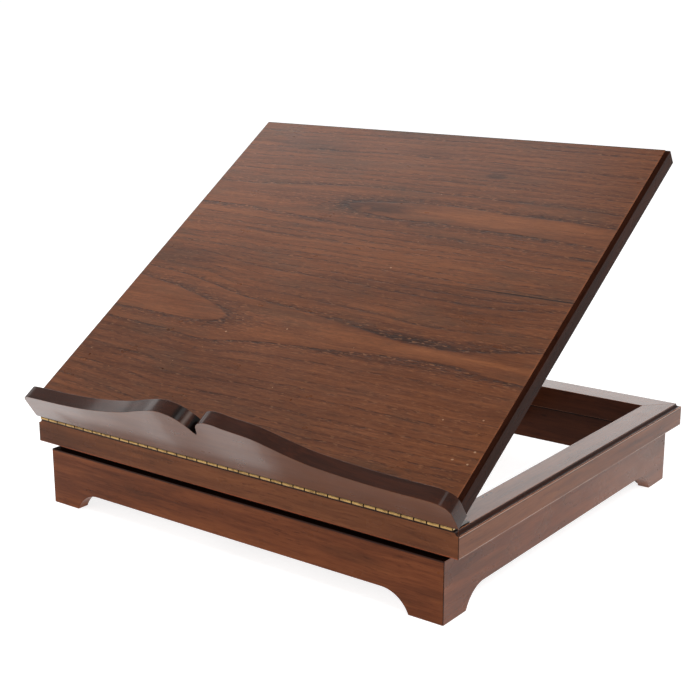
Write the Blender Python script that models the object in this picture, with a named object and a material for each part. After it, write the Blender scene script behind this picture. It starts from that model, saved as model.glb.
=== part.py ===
"""Photo album stand: a footed wooden base frame with a tilting album board.

The board turns on a piano hinge along the front rail.  Behind it a two-legged
prop turns on a rod under the board, and the prop's foot rod runs in the slots
of two slide rails, where two brass knobs clamp it.

Units are metres.  X runs left to right, Y front to back, Z up.  The origin is
on the floor under the middle of the stand's bounding box.
"""
import bpy
import bmesh
from math import radians, degrees, sin, cos, asin, atan2, pi, sqrt
from mathutils import Vector

# ------------------------------------------------------------------ sizes
GAP = 0.0003            # air between pieces that touch

WIDTH = 0.505           # top frame, left to right
DEPTH = 0.4415          # top frame, front to back
RAIL_TOP = 0.0875
RAIL_BOTTOM = 0.0639
SIDE_RAIL = 0.0299      # rail widths
BACK_RAIL = 0.0329
FRONT_RAIL = 0.0329
STEP_W = 0.0041         # moulding along the rails' outer top edge
STEP_H = 0.0035
STEP_LEDGE = 0.0011

BASE_TOP = 0.0578       # footed base boards
BASE_T = 0.0125
BASE_HALF = 0.2374      # outer face of the side boards
BASE_FRONT = 0.0024     # outer face of the front board, behind the rail face
BASE_BACK = 0.4400      # outer face of the back board
FOOT_FRONT = 0.0351     # foot width on the front and back boards
FOOT_SIDE = 0.0361      # foot width on the side boards
ARCH_H = 0.0186         # underside of the apron
ARCH_RUN = 0.0283       # length of the curve from foot to apron
NECK_IN = 0.0060        # neck strips stand this far inside the base faces
NECK_W = 0.0130
BLOCK = 0.0200          # legs of the triangular corner blocks

HINGE_Z = 0.08965       # piano hinge axis height, on the front rail's face
LEAF_T = 0.0009
LEAF_W = 0.0240
KNUCKLE_R = 0.0020
KNUCKLE_BORE = 0.0010
PIN_R = 0.0009
PITCH = 0.0127
KNUCKLES = 39

TILT = radians(33.735)  # board angle at rest
BOARD_LOW = 0.0022      # underside and top face, measured off the hinge axis
BOARD_HIGH = 0.0213
BOARD_HALF = 0.2525
BOARD_END = 0.4593      # back edge, measured from the hinge axis
EDGE_W = 0.0120
BOARD_STEP_W = 0.0033
BOARD_STEP_H = 0.0034
LIP_FRONT = -0.0010
LIP_BACK = 0.0140
LIP_HALF = 0.2532

PIVOT_U = 0.1700        # prop pivot, along the board and off the hinge axis
PIVOT_N = -0.0078
ARM_LEN = 0.2354        # prop pivot to foot rod
SLOT_Z = 0.0440         # height of the slide rails' slots
PIVOT_R = 0.0030
FOOT_R = 0.0040
ARM_IN, ARM_OUT = 0.0300, 0.0440
ARM_HALF = 0.0070
SLIDE_IN, SLIDE_OUT = 0.0460, 0.0580
SLIDE_LOW, SLIDE_HIGH = 0.0320, 0.0560
SLOT_HALF = 0.0046
FOOT_Y_CLOSED, FOOT_Y_MAX = 0.4024, 0.3004

# lip outline: (distance along X, height off the hinge axis), left to right;
# the crests stand either side of a notch that sits a little left of centre
LIP_KEYS = [
    (-0.2532, 0.0230), (-0.2528, 0.0278), (-0.2510, 0.0305), (-0.2470, 0.0322),
    (-0.2330, 0.0330), (-0.2150, 0.0334), (-0.1950, 0.0341), (-0.1720, 0.0357),
    (-0.1500, 0.0384), (-0.1170, 0.0446), (-0.0960, 0.0501), (-0.0760, 0.0570),
    (-0.0560, 0.0628), (-0.0450, 0.0642), (-0.0360, 0.0628), (-0.0284, 0.0602),
    (-0.0218, 0.0556), (-0.0158, 0.0498), (-0.0122, 0.0448), (-0.0100, 0.0430),
    (-0.0084, 0.0447), (-0.0066, 0.0503), (-0.0044, 0.0555), (-0.0010, 0.0592),
    (0.0030, 0.0618), (0.0100, 0.0640), (0.0190, 0.0640), (0.0300, 0.0618),
    (0.0500, 0.0593), (0.0620, 0.0572), (0.0780, 0.0519), (0.0950, 0.0458),
    (0.1140, 0.0405), (0.1370, 0.0371), (0.1600, 0.0349), (0.1810, 0.0336),
    (0.2080, 0.0329), (0.2250, 0.0327), (0.2370, 0.0322), (0.2450, 0.0305),
    (0.2500, 0.0272), (0.2523, 0.0230), (0.2532, 0.0180),
]

CREST = max(h for _, h in LIP_KEYS)
FRONT = -(DEPTH - (CREST * sin(TILT) - LIP_FRONT * cos(TILT))) / 2.0
# FRONT is the Y of the front rail's face and of the hinge axis

PIVOT_Y = PIVOT_U * cos(TILT) - PIVOT_N * sin(TILT)
PIVOT_Z = HINGE_Z + PIVOT_U * sin(TILT) + PIVOT_N * cos(TILT)
LEAN = asin((PIVOT_Z - SLOT_Z) / ARM_LEN)      # prop's slope below level

# ------------------------------------------------------------------ scene
for ob in list(bpy.data.objects):
    bpy.data.objects.remove(ob, do_unlink=True)

COLL = bpy.context.scene.collection


def material(name, rgb, rough, metal=0.0):
    m = bpy.data.materials.new(name)
    m.use_nodes = True
    p = m.node_tree.nodes["Principled BSDF"]
    p.inputs["Base Color"].default_value = (rgb[0], rgb[1], rgb[2], 1.0)
    p.inputs["Roughness"].default_value = rough
    p.inputs["Metallic"].default_value = metal
    m.diffuse_color = (rgb[0], rgb[1], rgb[2], 1.0)
    return m


WALNUT = (0.150, 0.062, 0.036)
PANEL = (0.190, 0.092, 0.055)
DARK = (0.085, 0.032, 0.020)
BRASS = (0.80, 0.58, 0.24)


def empty(name, loc, rot_x=0.0, parent=None):
    e = bpy.data.objects.new(name, None)
    COLL.objects.link(e)
    e.parent = parent
    e.location = loc
    e.rotation_euler = (rot_x, 0.0, 0.0)
    return e


def add(name, bm, mat=None, parent=None, smooth=False, loc=(0, 0, 0)):
    bmesh.ops.recalc_face_normals(bm, faces=bm.faces[:])
    me = bpy.data.meshes.new(name)
    bm.to_mesh(me)
    bm.free()
    if smooth:
        me.shade_smooth()
        me.set_sharp_from_angle(angle=radians(35))
    ob = bpy.data.objects.new(name, me)
    COLL.objects.link(ob)
    ob.parent = parent
    ob.location = loc
    if mat is not None:
        me.materials.append(mat)
    return ob


def cutter(name, bm, parent=None, loc=(0, 0, 0)):
    ob = add(name, bm, None, parent, False, loc)
    ob.hide_render = True
    ob.display_type = 'WIRE'
    return ob


def boolean(ob, other, operation='DIFFERENCE'):
    m = ob.modifiers.new(operation.lower(), 'BOOLEAN')
    m.operation = operation
    m.solver = 'EXACT'
    m.object = other
    return m


def xyz(axis, a, b, t):
    """Profile point (a, b) at station t along an axis."""
    if axis == 'x':
        return (t, a, b)
    if axis == 'y':
        return (a, t, b)
    return (a, b, t)


def prism(profile, axis, lo, hi, bm=None):
    """Closed profile swept along an axis; lo and hi may follow the profile."""
    bm = bm or bmesh.new()
    flo = lo if callable(lo) else (lambda a, b: lo)
    fhi = hi if callable(hi) else (lambda a, b: hi)
    v0 = [bm.verts.new(xyz(axis, a, b, flo(a, b))) for a, b in profile]
    v1 = [bm.verts.new(xyz(axis, a, b, fhi(a, b))) for a, b in profile]
    n = len(profile)
    bm.faces.new(v0)
    bm.faces.new(v1[::-1])
    for i in range(n):
        j = (i + 1) % n
        bm.faces.new((v0[j], v0[i], v1[i], v1[j]))
    return bm


def box(x0, x1, y0, y1, z0, z1, bm=None):
    return prism([(y0, z0), (y1, z0), (y1, z1), (y0, z1)], 'x', x0, x1, bm)


def circle(ca, cb, r, n, turn=0.0):
    return [(ca + r * cos(2 * pi * (i + turn) / n),
             cb + r * sin(2 * pi * (i + turn) / n)) for i in range(n)]


def rod(ca, cb, r, axis, lo, hi, n=16, bm=None):
    return prism(circle(ca, cb, r, n), axis, lo, hi, bm)


def tube(ca, cb, r_out, r_in, axis, lo, hi, n, bm=None):
    bm = bm or bmesh.new()
    rings = []
    for r, t in ((r_out, lo), (r_out, hi), (r_in, hi), (r_in, lo)):
        rings.append([bm.verts.new(xyz(axis, a, b, t))
                      for a, b in circle(ca, cb, r, n)])
    for k in range(4):
        p, q = rings[k], rings[(k + 1) % 4]
        for i in range(n):
            j = (i + 1) % n
            bm.faces.new((p[i], p[j], q[j], q[i]))
    return bm


def turned(profile, axis, ca, cb, n, bm=None):
    """Solid of revolution; profile is (radius, station), ends at radius 0."""
    bm = bm or bmesh.new()
    first = bm.verts.new(xyz(axis, ca, cb, profile[0][1]))
    last = bm.verts.new(xyz(axis, ca, cb, profile[-1][1]))
    rings = [[bm.verts.new(xyz(axis, a, b, t)) for a, b in circle(ca, cb, r, n)]
             for r, t in profile[1:-1]]
    for i in range(n):
        j = (i + 1) % n
        bm.faces.new((first, rings[0][j], rings[0][i]))
        bm.faces.new((last, rings[-1][i], rings[-1][j]))
        for p, q in zip(rings, rings[1:]):
            bm.faces.new((p[i], p[j], q[j], q[i]))
    return bm


def moulded(width, low, high, step_w, step_h, ledge, arris=0.0):
    """Rail section: (distance in from the outer face, height)."""
    pts = [(arris, low), (0.0, low + arris)] if arris else [(0.0, low)]
    pts += [(0.0, high - step_h - 0.0004), (0.0004, high - step_h), (ledge, high - step_h)]
    r = step_w - ledge
    h = step_h
    for k in (1, 2, 3):
        a = 0.5 * pi * k / 4
        pts.append((ledge + r * sin(a), high - step_h + h * (1 - cos(a))))
    pts += [(step_w, high), (width, high), (width, low)]
    return pts


# --------------------------------------------------------- footed base
def arch(span, foot):
    """Board outline from one end to the other with two curved bracket feet."""
    r = (ARCH_RUN ** 2 + ARCH_H ** 2) / (2 * ARCH_H)
    cs, cz = foot + ARCH_RUN, ARCH_H - r
    curve = []
    a0 = atan2(0.0 - cz, foot - cs)
    a1 = pi / 2
    for k in range(7):
        a = a0 + (a1 - a0) * k / 6
        curve.append((cs + r * cos(a), cz + r * sin(a)))
    curve[0] = (foot, 0.0)
    left = [(0.0, BASE_TOP), (0.0, 0.0)] + curve
    right = [(span - s, z) for s, z in reversed(left)]
    return left + right


BASE_LEN = 2 * BASE_HALF
BASE_DEP = BASE_BACK - BASE_FRONT


def mitred_board(name, axis, outline, span, outer, inward, mat):
    """Outline in (along, z); thickness grows inward; ends mitred at 45."""
    bm = bmesh.new()
    front, rear = [], []
    for s, z in outline:
        t = 1.0 - 2.0 * s / span            # +1 at the start, -1 at the end
        on_end = s < 1e-9 or s > span - 1e-9
        s_in = s
        if on_end:
            s_in = s + BASE_T * (1 if t > 0 else -1)
            s = s + GAP * 0.5 * (1 if t > 0 else -1)
            s_in = s_in + GAP * 0.5 * (1 if t > 0 else -1)
        front.append((s, z))
        rear.append((s_in, z))
    def P(s, z, d):
        along = s - span / 2 if axis == 'x' else s + FRONT + BASE_FRONT
        if axis == 'x':
            return (along, outer + inward * d, z)
        return (outer + inward * d, along, z)
    v0 = [bm.verts.new(P(s, z, 0.0)) for s, z in front]
    v1 = [bm.verts.new(P(s, z, BASE_T)) for s, z in rear]
    n = len(v0)
    bm.faces.new(v0)
    bm.faces.new(v1[::-1])
    for i in range(n):
        j = (i + 1) % n
        bm.faces.new((v0[j], v0[i], v1[i], v1[j]))
    return add(name, bm, mat)


M_BASE = [material("base_wood_" + s, WALNUT, 0.35) for s in ("front", "back", "left", "right")]
mitred_board("base_front_board", 'x', arch(BASE_LEN, FOOT_FRONT), BASE_LEN,
             FRONT + BASE_FRONT, 1, M_BASE[0])
mitred_board("base_back_board", 'x', arch(BASE_LEN, FOOT_FRONT), BASE_LEN,
             FRONT + BASE_BACK, -1, M_BASE[1])
mitred_board("base_left_board", 'y', arch(BASE_DEP, FOOT_SIDE), BASE_DEP,
             -BASE_HALF, 1, M_BASE[2])
mitred_board("base_right_board", 'y', arch(BASE_DEP, FOOT_SIDE), BASE_DEP,
             BASE_HALF, -1, M_BASE[3])

# neck strips stand on the boards and make the shadow gap under the rails
nx = BASE_HALF - NECK_IN
ny0 = FRONT + BASE_FRONT + NECK_IN
ny1 = FRONT + BASE_BACK - NECK_IN
z0, z1 = BASE_TOP + GAP, RAIL_BOTTOM - GAP
add("neck_strip_front", box(-nx, nx, ny0, ny0 + NECK_W, z0, z1),
    material("neck_front", DARK, 0.6))
add("neck_strip_back", box(-nx, nx, ny1 - NECK_W, ny1, z0, z1),
    material("neck_back", DARK, 0.6))
add("neck_strip_left", box(-nx, -nx + NECK_W, ny0 + NECK_W + GAP, ny1 - NECK_W - GAP, z0, z1),
    material("neck_left", DARK, 0.6))
add("neck_strip_right", box(nx - NECK_W, nx, ny0 + NECK_W + GAP, ny1 - NECK_W - GAP, z0, z1),
    material("neck_right", DARK, 0.6))

# glue blocks behind the feet
for label, sx, sy in (("front_left", -1, 1), ("front_right", 1, 1),
                      ("back_left", -1, -1), ("back_right", 1, -1)):
    cx = sx * (BASE_HALF - BASE_T - GAP)
    cy = (FRONT + BASE_FRONT + BASE_T + GAP) if sy > 0 else (FRONT + BASE_BACK - BASE_T - GAP)
    tri = [(cx, cy), (cx - sx * BLOCK, cy), (cx - sx * BLOCK, cy + sy * 0.003),
           (cx - sx * 0.003, cy + sy * BLOCK), (cx, cy + sy * BLOCK)]
    add("corner_block_" + label, prism(tri, 'z', 0.0010, BASE_TOP - 0.0002),
        material("block_" + label, DARK, 0.6))

# --------------------------------------------------------- top frame
H = WIDTH / 2


def end_inset(width, neighbour):
    return lambda d: d / width * neighbour + GAP / 2


side_profile = moulded(SIDE_RAIL, RAIL_BOTTOM, RAIL_TOP, STEP_W, STEP_H, STEP_LEDGE)
k = BACK_RAIL / SIDE_RAIL
back_profile = moulded(BACK_RAIL, RAIL_BOTTOM, RAIL_TOP, STEP_W * k, STEP_H, STEP_LEDGE * k)

for side, label in ((-1, "left"), (1, "right")):
    f_in = end_inset(SIDE_RAIL, FRONT_RAIL)
    b_in = end_inset(SIDE_RAIL, BACK_RAIL)
    prof = [(side * (H - d), z) for d, z in side_profile]
    bm = prism(prof, 'y',
               lambda a, b, f=f_in: FRONT + f(H - abs(a)),
               lambda a, b, f=b_in: FRONT + DEPTH - f(H - abs(a)))
    add("top_rail_" + label, bm, material("rail_" + label, WALNUT, 0.3))

b_out = end_inset(BACK_RAIL, SIDE_RAIL)
prof = [(FRONT + DEPTH - d, z) for d, z in back_profile]
add("top_rail_back",
    prism(prof, 'x', lambda a, b: -H + b_out(FRONT + DEPTH - a),
          lambda a, b: H - b_out(FRONT + DEPTH - a)),
    material("rail_back", WALNUT, 0.3))

f_out = end_inset(FRONT_RAIL, SIDE_RAIL)
prof = [(FRONT, RAIL_BOTTOM), (FRONT + FRONT_RAIL, RAIL_BOTTOM),
        (FRONT + FRONT_RAIL, RAIL_TOP), (FRONT, RAIL_TOP)]
rail_front = add("top_rail_front",
                 prism(prof, 'x', lambda a, b: -H + f_out(a - FRONT),
                       lambda a, b: H - f_out(a - FRONT)),
                 material("rail_front", WALNUT, 0.3))
# the side mouldings run out through the front rail's tips
bm = bmesh.new()
for side in (-1, 1):
    notch = [(side * (H - d), z) for d, z in side_profile[1:-2]]
    notch = ([(side * (H + 0.002), RAIL_TOP - STEP_H - 0.0004)] + notch
             + [(side * (H - STEP_W), RAIL_TOP + 0.002), (side * (H + 0.002), RAIL_TOP + 0.002)])
    prism(notch, 'y', FRONT - 0.002, FRONT + 0.012, bm)
boolean(rail_front, cutter("cut_front_rail_ends", bm))

# --------------------------------------------------------- slide rails
slide_y0 = FRONT + BASE_FRONT + BASE_T + GAP
slide_y1 = FRONT + BASE_BACK - BASE_T - GAP
for side, label in ((-1, "left"), (1, "right")):
    xs = sorted((side * SLIDE_IN, side * SLIDE_OUT))
    ob = add("slide_rail_" + label,
             box(xs[0], xs[1], slide_y0, slide_y1, SLIDE_LOW, SLIDE_HIGH),
             material("slide_" + label, DARK, 0.5))
    s0, s1 = FRONT + FOOT_Y_MAX - 0.0012, FRONT + FOOT_Y_CLOSED + 0.0012
    slot = []
    for k in range(7):
        a = -pi / 2 + pi * k / 6
        slot.append((s1 + SLOT_HALF * cos(a), SLOT_Z + SLOT_HALF * sin(a)))
    for k in range(7):
        a = pi / 2 + pi * k / 6
        slot.append((s0 + SLOT_HALF * cos(a), SLOT_Z + SLOT_HALF * sin(a)))
    boolean(ob, cutter("cut_slot_" + label,
                       prism(slot, 'x', xs[0] - 0.002, xs[1] + 0.002)))

# --------------------------------------------------------- piano hinge
M_LEAF_LOW = material("brass_lower_leaf", BRASS, 0.3, 1.0)
M_LEAF_UP = material("brass_upper_leaf", BRASS, 0.3, 1.0)
M_PIN = material("brass_pin", BRASS, 0.35, 1.0)
X0 = -PITCH * KNUCKLES / 2
LOW_SCREWS = [-0.170, -0.085, 0.0, 0.085, 0.170]
UP_SCREWS = [-0.2125, -0.1275, -0.0425, 0.0425, 0.1275, 0.2125]
SCREW_AT = 0.0185


def leaf(name, first, h0, h1, mat, parent, loc, screws):
    """Leaf with every second knuckle; heights measured off the hinge axis."""
    knuckles = bmesh.new()
    outline = []
    for k in range(KNUCKLES):
        a = X0 + k * PITCH + GAP / 2
        b = X0 + (k + 1) * PITCH - GAP / 2
        if k % 2 == first:
            tube(0.0, 0.0, KNUCKLE_R, KNUCKLE_BORE, 'x', a, b, 10, knuckles)
            outline += [(a, 0.0024), (a, 0.0007), (b, 0.0007), (b, 0.0024)]
    xe = X0 + KNUCKLES * PITCH - GAP / 2
    if first == 1:
        outline = [(X0 + GAP / 2, 0.0024)] + outline + [(xe, 0.0024)]
    outline += [(xe, LEAF_W), (X0 + GAP / 2, LEAF_W)]
    plate = add(name, prism(outline, 'z', h0, h1), mat, parent, False, loc)
    rings = cutter("join_" + name, knuckles, parent, loc)
    boolean(plate, rings, 'UNION')
    holes = bmesh.new()
    for x in screws:
        rod(x, SCREW_AT, 0.0018, 'z', h0 - 0.001, h1 + 0.001, 10, holes)
    boolean(plate, cutter("holes_" + name, holes, parent, loc))
    return plate


AXIS = (0.0, FRONT, HINGE_Z)
leaf_low = RAIL_TOP + GAP - HINGE_Z
leaf("hinge_leaf_lower", 0, leaf_low, leaf_low + LEAF_T, M_LEAF_LOW, None, AXIS, LOW_SCREWS)
add("hinge_pin", rod(0.0, 0.0, PIN_R, 'x', X0, -X0, 10), M_PIN, None, True, AXIS)

board_pivot = empty("board_pivot", AXIS, TILT)
leaf_up = BOARD_LOW - GAP - LEAF_T
leaf("hinge_leaf_upper", 1, leaf_up, leaf_up + LEAF_T, M_LEAF_UP, board_pivot, (0, 0, 0), UP_SCREWS)


def screw(name, x, y, under_head, into, parent, loc, head_r=0.0026, head_h=0.0007,
          shank_r=0.0014, length=0.0095):
    """Round-head screw along Z; `into` is +1 or -1, the way the shank points."""
    h = under_head - into * 0.00012
    prof = [(0.0, h - into * head_h), (head_r * 0.62, h - into * head_h * 0.93),
            (head_r, h - into * head_h * 0.3), (head_r, h), (shank_r, h),
            (shank_r, h + into * (length - 0.002)), (0.0, h + into * length)]
    return add(name, turned(prof, 'z', x, y, 10), material(name, BRASS, 0.3, 1.0),
               parent, True, loc)


holes = bmesh.new()
for i, x in enumerate(LOW_SCREWS):
    screw("hinge_screw_lower_%d" % (i + 1), x, SCREW_AT, leaf_low + LEAF_T, -1, None, AXIS)
    rod(x, SCREW_AT, 0.0017, 'z', leaf_low - 0.0115, leaf_low + 0.001, 10, holes)
boolean(rail_front, cutter("holes_front_rail", holes, None, AXIS))

# --------------------------------------------------------- tilting board
panel_u0, panel_u1 = LIP_BACK + GAP, BOARD_END - EDGE_W - GAP
panel = add("board_panel",
            box(-(BOARD_HALF - EDGE_W - GAP), BOARD_HALF - EDGE_W - GAP,
                panel_u0, panel_u1, BOARD_LOW, BOARD_HIGH),
            material("panel", PANEL, 0.28), board_pivot)
edge = moulded(EDGE_W, BOARD_LOW, BOARD_HIGH, BOARD_STEP_W, BOARD_STEP_H, 0.0009, 0.0008)
for side, label in ((-1, "left"), (1, "right")):
    prof = [(side * (BOARD_HALF - d), n) for d, n in edge]
    add("board_edge_" + label,
        prism(prof, 'y', panel_u0,
              lambda a, b: BOARD_END - (BOARD_HALF - abs(a)) - GAP / 2),
        material("edge_" + label, WALNUT, 0.3), board_pivot)
prof = [(BOARD_END - d, n) for d, n in edge]
add("board_edge_back",
    prism(prof, 'x', lambda a, b: -BOARD_HALF + (BOARD_END - a) + GAP / 2,
          lambda a, b: BOARD_HALF - (BOARD_END - a) - GAP / 2),
    material("edge_back", WALNUT, 0.3), board_pivot)

outline = [(-LIP_HALF, BOARD_LOW)] + LIP_KEYS + [(LIP_HALF, BOARD_LOW)]
add("album_lip", prism(outline, 'y', LIP_FRONT, LIP_BACK),
    material("lip", WALNUT, 0.25), board_pivot)

holes = bmesh.new()
for i, x in enumerate(UP_SCREWS):
    screw("hinge_screw_upper_%d" % (i + 1), x, SCREW_AT, leaf_up, 1, board_pivot, (0, 0, 0))
    rod(x, SCREW_AT, 0.0017, 'z', BOARD_LOW - 0.001, leaf_up + 0.0115, 10, holes)

# rubber buffers that land on the back rail when the board is down
low = RAIL_TOP + GAP - HINGE_Z
for side, label in ((-1, "left"), (1, "right")):
    add("rest_buffer_" + label,
        rod(side * 0.200, DEPTH - 0.0165, 0.0060, 'z', low, BOARD_LOW - GAP, 12),
        material("buffer_" + label, (0.03, 0.03, 0.03), 0.8), board_pivot, True)

# prop brackets: a screwed foot with a bored ear
FLANGE = 0.0050
for side, label in ((-1, "left"), (1, "right")):
    xs = sorted((side * (ARM_OUT + 0.0004), side * (ARM_OUT + 0.0124)))
    top = BOARD_LOW - GAP
    ear = []
    for k in range(9):
        a = pi + pi * k / 8
        ear.append((PIVOT_U + 0.0080 * cos(a), PIVOT_N + 0.0080 * sin(a)))
    prof = ([(PIVOT_U - 0.0240, top), (PIVOT_U - 0.0240, top - FLANGE),
             (PIVOT_U - 0.0110, top - FLANGE)] + ear
            + [(PIVOT_U + 0.0110, top - FLANGE), (PIVOT_U + 0.0240, top - FLANGE),
               (PIVOT_U + 0.0240, top)])
    br = add("prop_bracket_" + label, prism(prof, 'x', xs[0], xs[1]),
             material("bracket_" + label, WALNUT, 0.4), board_pivot)
    bm = rod(PIVOT_U, PIVOT_N, PIVOT_R + 0.00012, 'x', xs[0] - 0.002, xs[1] + 0.002, 16)
    xm = (xs[0] + xs[1]) / 2
    for j, du in enumerate((-0.0175, 0.0175)):
        rod(xm, PIVOT_U + du, 0.0018, 'z', top - FLANGE - 0.002, top + 0.001, 10, bm)
        rod(xm, PIVOT_U + du, 0.0017, 'z', BOARD_LOW - 0.001, top - FLANGE + 0.0155, 10, holes)
        screw("bracket_screw_%s_%d" % (label, j + 1), xm, PIVOT_U + du, top - FLANGE, 1,
              board_pivot, (0, 0, 0), head_h=0.0014, length=0.0140)
    boolean(br, cutter("bore_bracket_" + label, bm, board_pivot))
boolean(panel, cutter("holes_panel", holes, board_pivot))

add("prop_pivot_rod",
    rod(PIVOT_U, PIVOT_N, PIVOT_R, 'x', -(ARM_OUT + 0.0122), ARM_OUT + 0.0122, 16),
    material("pivot_rod", (0.62, 0.62, 0.60), 0.3, 1.0), board_pivot, True)

# --------------------------------------------------------- prop
# its own frame: Y runs down the arms from the pivot to the foot rod
prop_pivot = empty("prop_pivot", (0.0, PIVOT_U, PIVOT_N), -(LEAN + TILT), board_pivot)

for side, label in ((-1, "left"), (1, "right")):
    xs = sorted((side * ARM_IN, side * ARM_OUT))
    prof = []
    for k in range(9):
        a = -pi / 2 + pi * k / 8
        prof.append((ARM_LEN + (ARM_HALF + 0.001) * cos(a), (ARM_HALF + 0.001) * sin(a)))
    for k in range(9):
        a = pi / 2 + pi * k / 8
        prof.append((ARM_HALF * cos(a), ARM_HALF * sin(a)))
    arm = add("prop_arm_" + label, prism(prof, 'x', xs[0], xs[1]),
              material("arm_" + label, WALNUT, 0.4), prop_pivot)
    bm = rod(0.0, 0.0, PIVOT_R + 0.00012, 'x', xs[0] - 0.002, xs[1] + 0.002, 16)
    rod(ARM_LEN, 0.0, FOOT_R + 0.00015, 'x', xs[0] - 0.002, xs[1] + 0.002, 16, bm)
    boolean(arm, cutter("bores_arm_" + label, bm, prop_pivot))

for label, at in (("upper", 0.045), ("lower", 0.165)):
    add("prop_cross_rail_" + label,
        box(-(ARM_IN - GAP), ARM_IN - GAP, at - 0.009, at + 0.009, -0.0055, 0.0055),
        material("cross_" + label, WALNUT, 0.4), prop_pivot)

add("foot_rod", rod(ARM_LEN, 0.0, FOOT_R, 'x', -0.0700, 0.0700, 16),
    material("foot_rod", (0.62, 0.62, 0.60), 0.3, 1.0), prop_pivot, True)

for side, label in ((-1, "left"), (1, "right")):
    lo, hi = sorted((side * (SLIDE_OUT + GAP), side * (SLIDE_OUT + GAP + 0.0012)))
    add("washer_" + label, tube(ARM_LEN, 0.0, 0.0090, FOOT_R + 0.00015, 'x', lo, hi, 16),
        material("washer_" + label, BRASS, 0.3, 1.0), prop_pivot, True)
    knob_pivot = empty("knob_pivot_" + label, (0.0, ARM_LEN, 0.0), 0.0, prop_pivot)
    inner = SLIDE_OUT + 2 * GAP + 0.0012
    # knurled knob: grooved rim, blind thread bore on the inner face
    rim = []
    for k in range(32):
        a = 2 * pi * k / 32
        r = 0.0110 if k % 2 == 0 else 0.0103
        rim.append((r * cos(a), r * sin(a)))
    lo, hi = sorted((side * inner, side * (inner + 0.0130)))
    knob = add("clamp_knob_" + label, prism(rim, 'x', lo, hi),
               material("knob_" + label, BRASS, 0.25, 1.0), knob_pivot)
    lo, hi = sorted((side * (inner - 0.002), side * 0.0704))
    boolean(knob, cutter("bore_knob_" + label,
                         rod(0.0, 0.0, FOOT_R + 0.00015, 'x', lo, hi, 16), knob_pivot))

bpy.context.view_layer.update()
print("front face y %.5f  prop lean %.4f deg  pivot y %.5f z %.5f"
      % (FRONT, degrees(LEAN), FRONT + PIVOT_Y, PIVOT_Z))
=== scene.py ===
"""Looks of the photo album stand: finished pieces, materials, floor, light and camera."""

import bpy
import bmesh
from math import radians, sin, cos, asin, atan2, pi, sqrt
from mathutils import Vector, Matrix


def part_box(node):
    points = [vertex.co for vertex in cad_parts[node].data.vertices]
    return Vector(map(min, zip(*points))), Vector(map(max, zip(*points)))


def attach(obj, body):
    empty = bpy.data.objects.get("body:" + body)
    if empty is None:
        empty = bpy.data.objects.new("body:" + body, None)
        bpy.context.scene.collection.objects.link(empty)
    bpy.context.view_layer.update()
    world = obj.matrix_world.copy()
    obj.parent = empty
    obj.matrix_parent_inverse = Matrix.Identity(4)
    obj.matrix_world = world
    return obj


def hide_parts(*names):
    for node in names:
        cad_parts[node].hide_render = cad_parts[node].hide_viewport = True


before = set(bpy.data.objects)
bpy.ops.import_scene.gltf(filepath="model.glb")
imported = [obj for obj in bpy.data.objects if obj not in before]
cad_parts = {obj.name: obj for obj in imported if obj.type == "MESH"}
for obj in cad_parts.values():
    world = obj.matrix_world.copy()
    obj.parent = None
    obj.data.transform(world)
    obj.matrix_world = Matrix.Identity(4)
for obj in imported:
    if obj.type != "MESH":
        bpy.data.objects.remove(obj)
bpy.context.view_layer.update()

# ------------------------------------------------------------------ sizes
GAP = 0.0003
_lo, _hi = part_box("top_rail_front")
FRONT = _lo.y                                  # front rail face and hinge axis
RAIL_TOP, RAIL_BOTTOM = _hi.z, _lo.z
WIDTH = 0.505
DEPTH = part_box("top_rail_back")[1].y - FRONT
SIDE_RAIL, BACK_RAIL, FRONT_RAIL = 0.0299, 0.0329, 0.0329
STEP_W, STEP_H, STEP_LEDGE = 0.0041, 0.0035, 0.0011
BASE_TOP, BASE_T, BASE_HALF = 0.0578, 0.0125, 0.2374
BASE_FRONT, BASE_BACK = 0.0024, 0.4400
FOOT_FRONT, FOOT_SIDE, ARCH_H, ARCH_RUN = 0.0351, 0.0361, 0.0186, 0.0283
HINGE_Z = 0.08965
LEAF_T, LEAF_W, KNUCKLE_R, KNUCKLE_BORE, PIN_R = 0.0009, 0.0240, 0.0020, 0.0010, 0.0009
PITCH, KNUCKLES = 0.0127, 39
TILT = radians(33.735)
BOARD_LOW, BOARD_HIGH, BOARD_HALF, BOARD_END = 0.0022, 0.0213, 0.2525, 0.4593
EDGE_W, BOARD_STEP_W, BOARD_STEP_H = 0.0120, 0.0033, 0.0034
LIP_FRONT, LIP_BACK, LIP_HALF = -0.0010, 0.0140, 0.2532
PIVOT_U, PIVOT_N, ARM_LEN, SLOT_Z = 0.1700, -0.0078, 0.2354, 0.0440
FOOT_R, PIVOT_R = 0.0040, 0.0030
ARM_IN, ARM_OUT, SLIDE_OUT = 0.0300, 0.0440, 0.0580
H = WIDTH / 2

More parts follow.
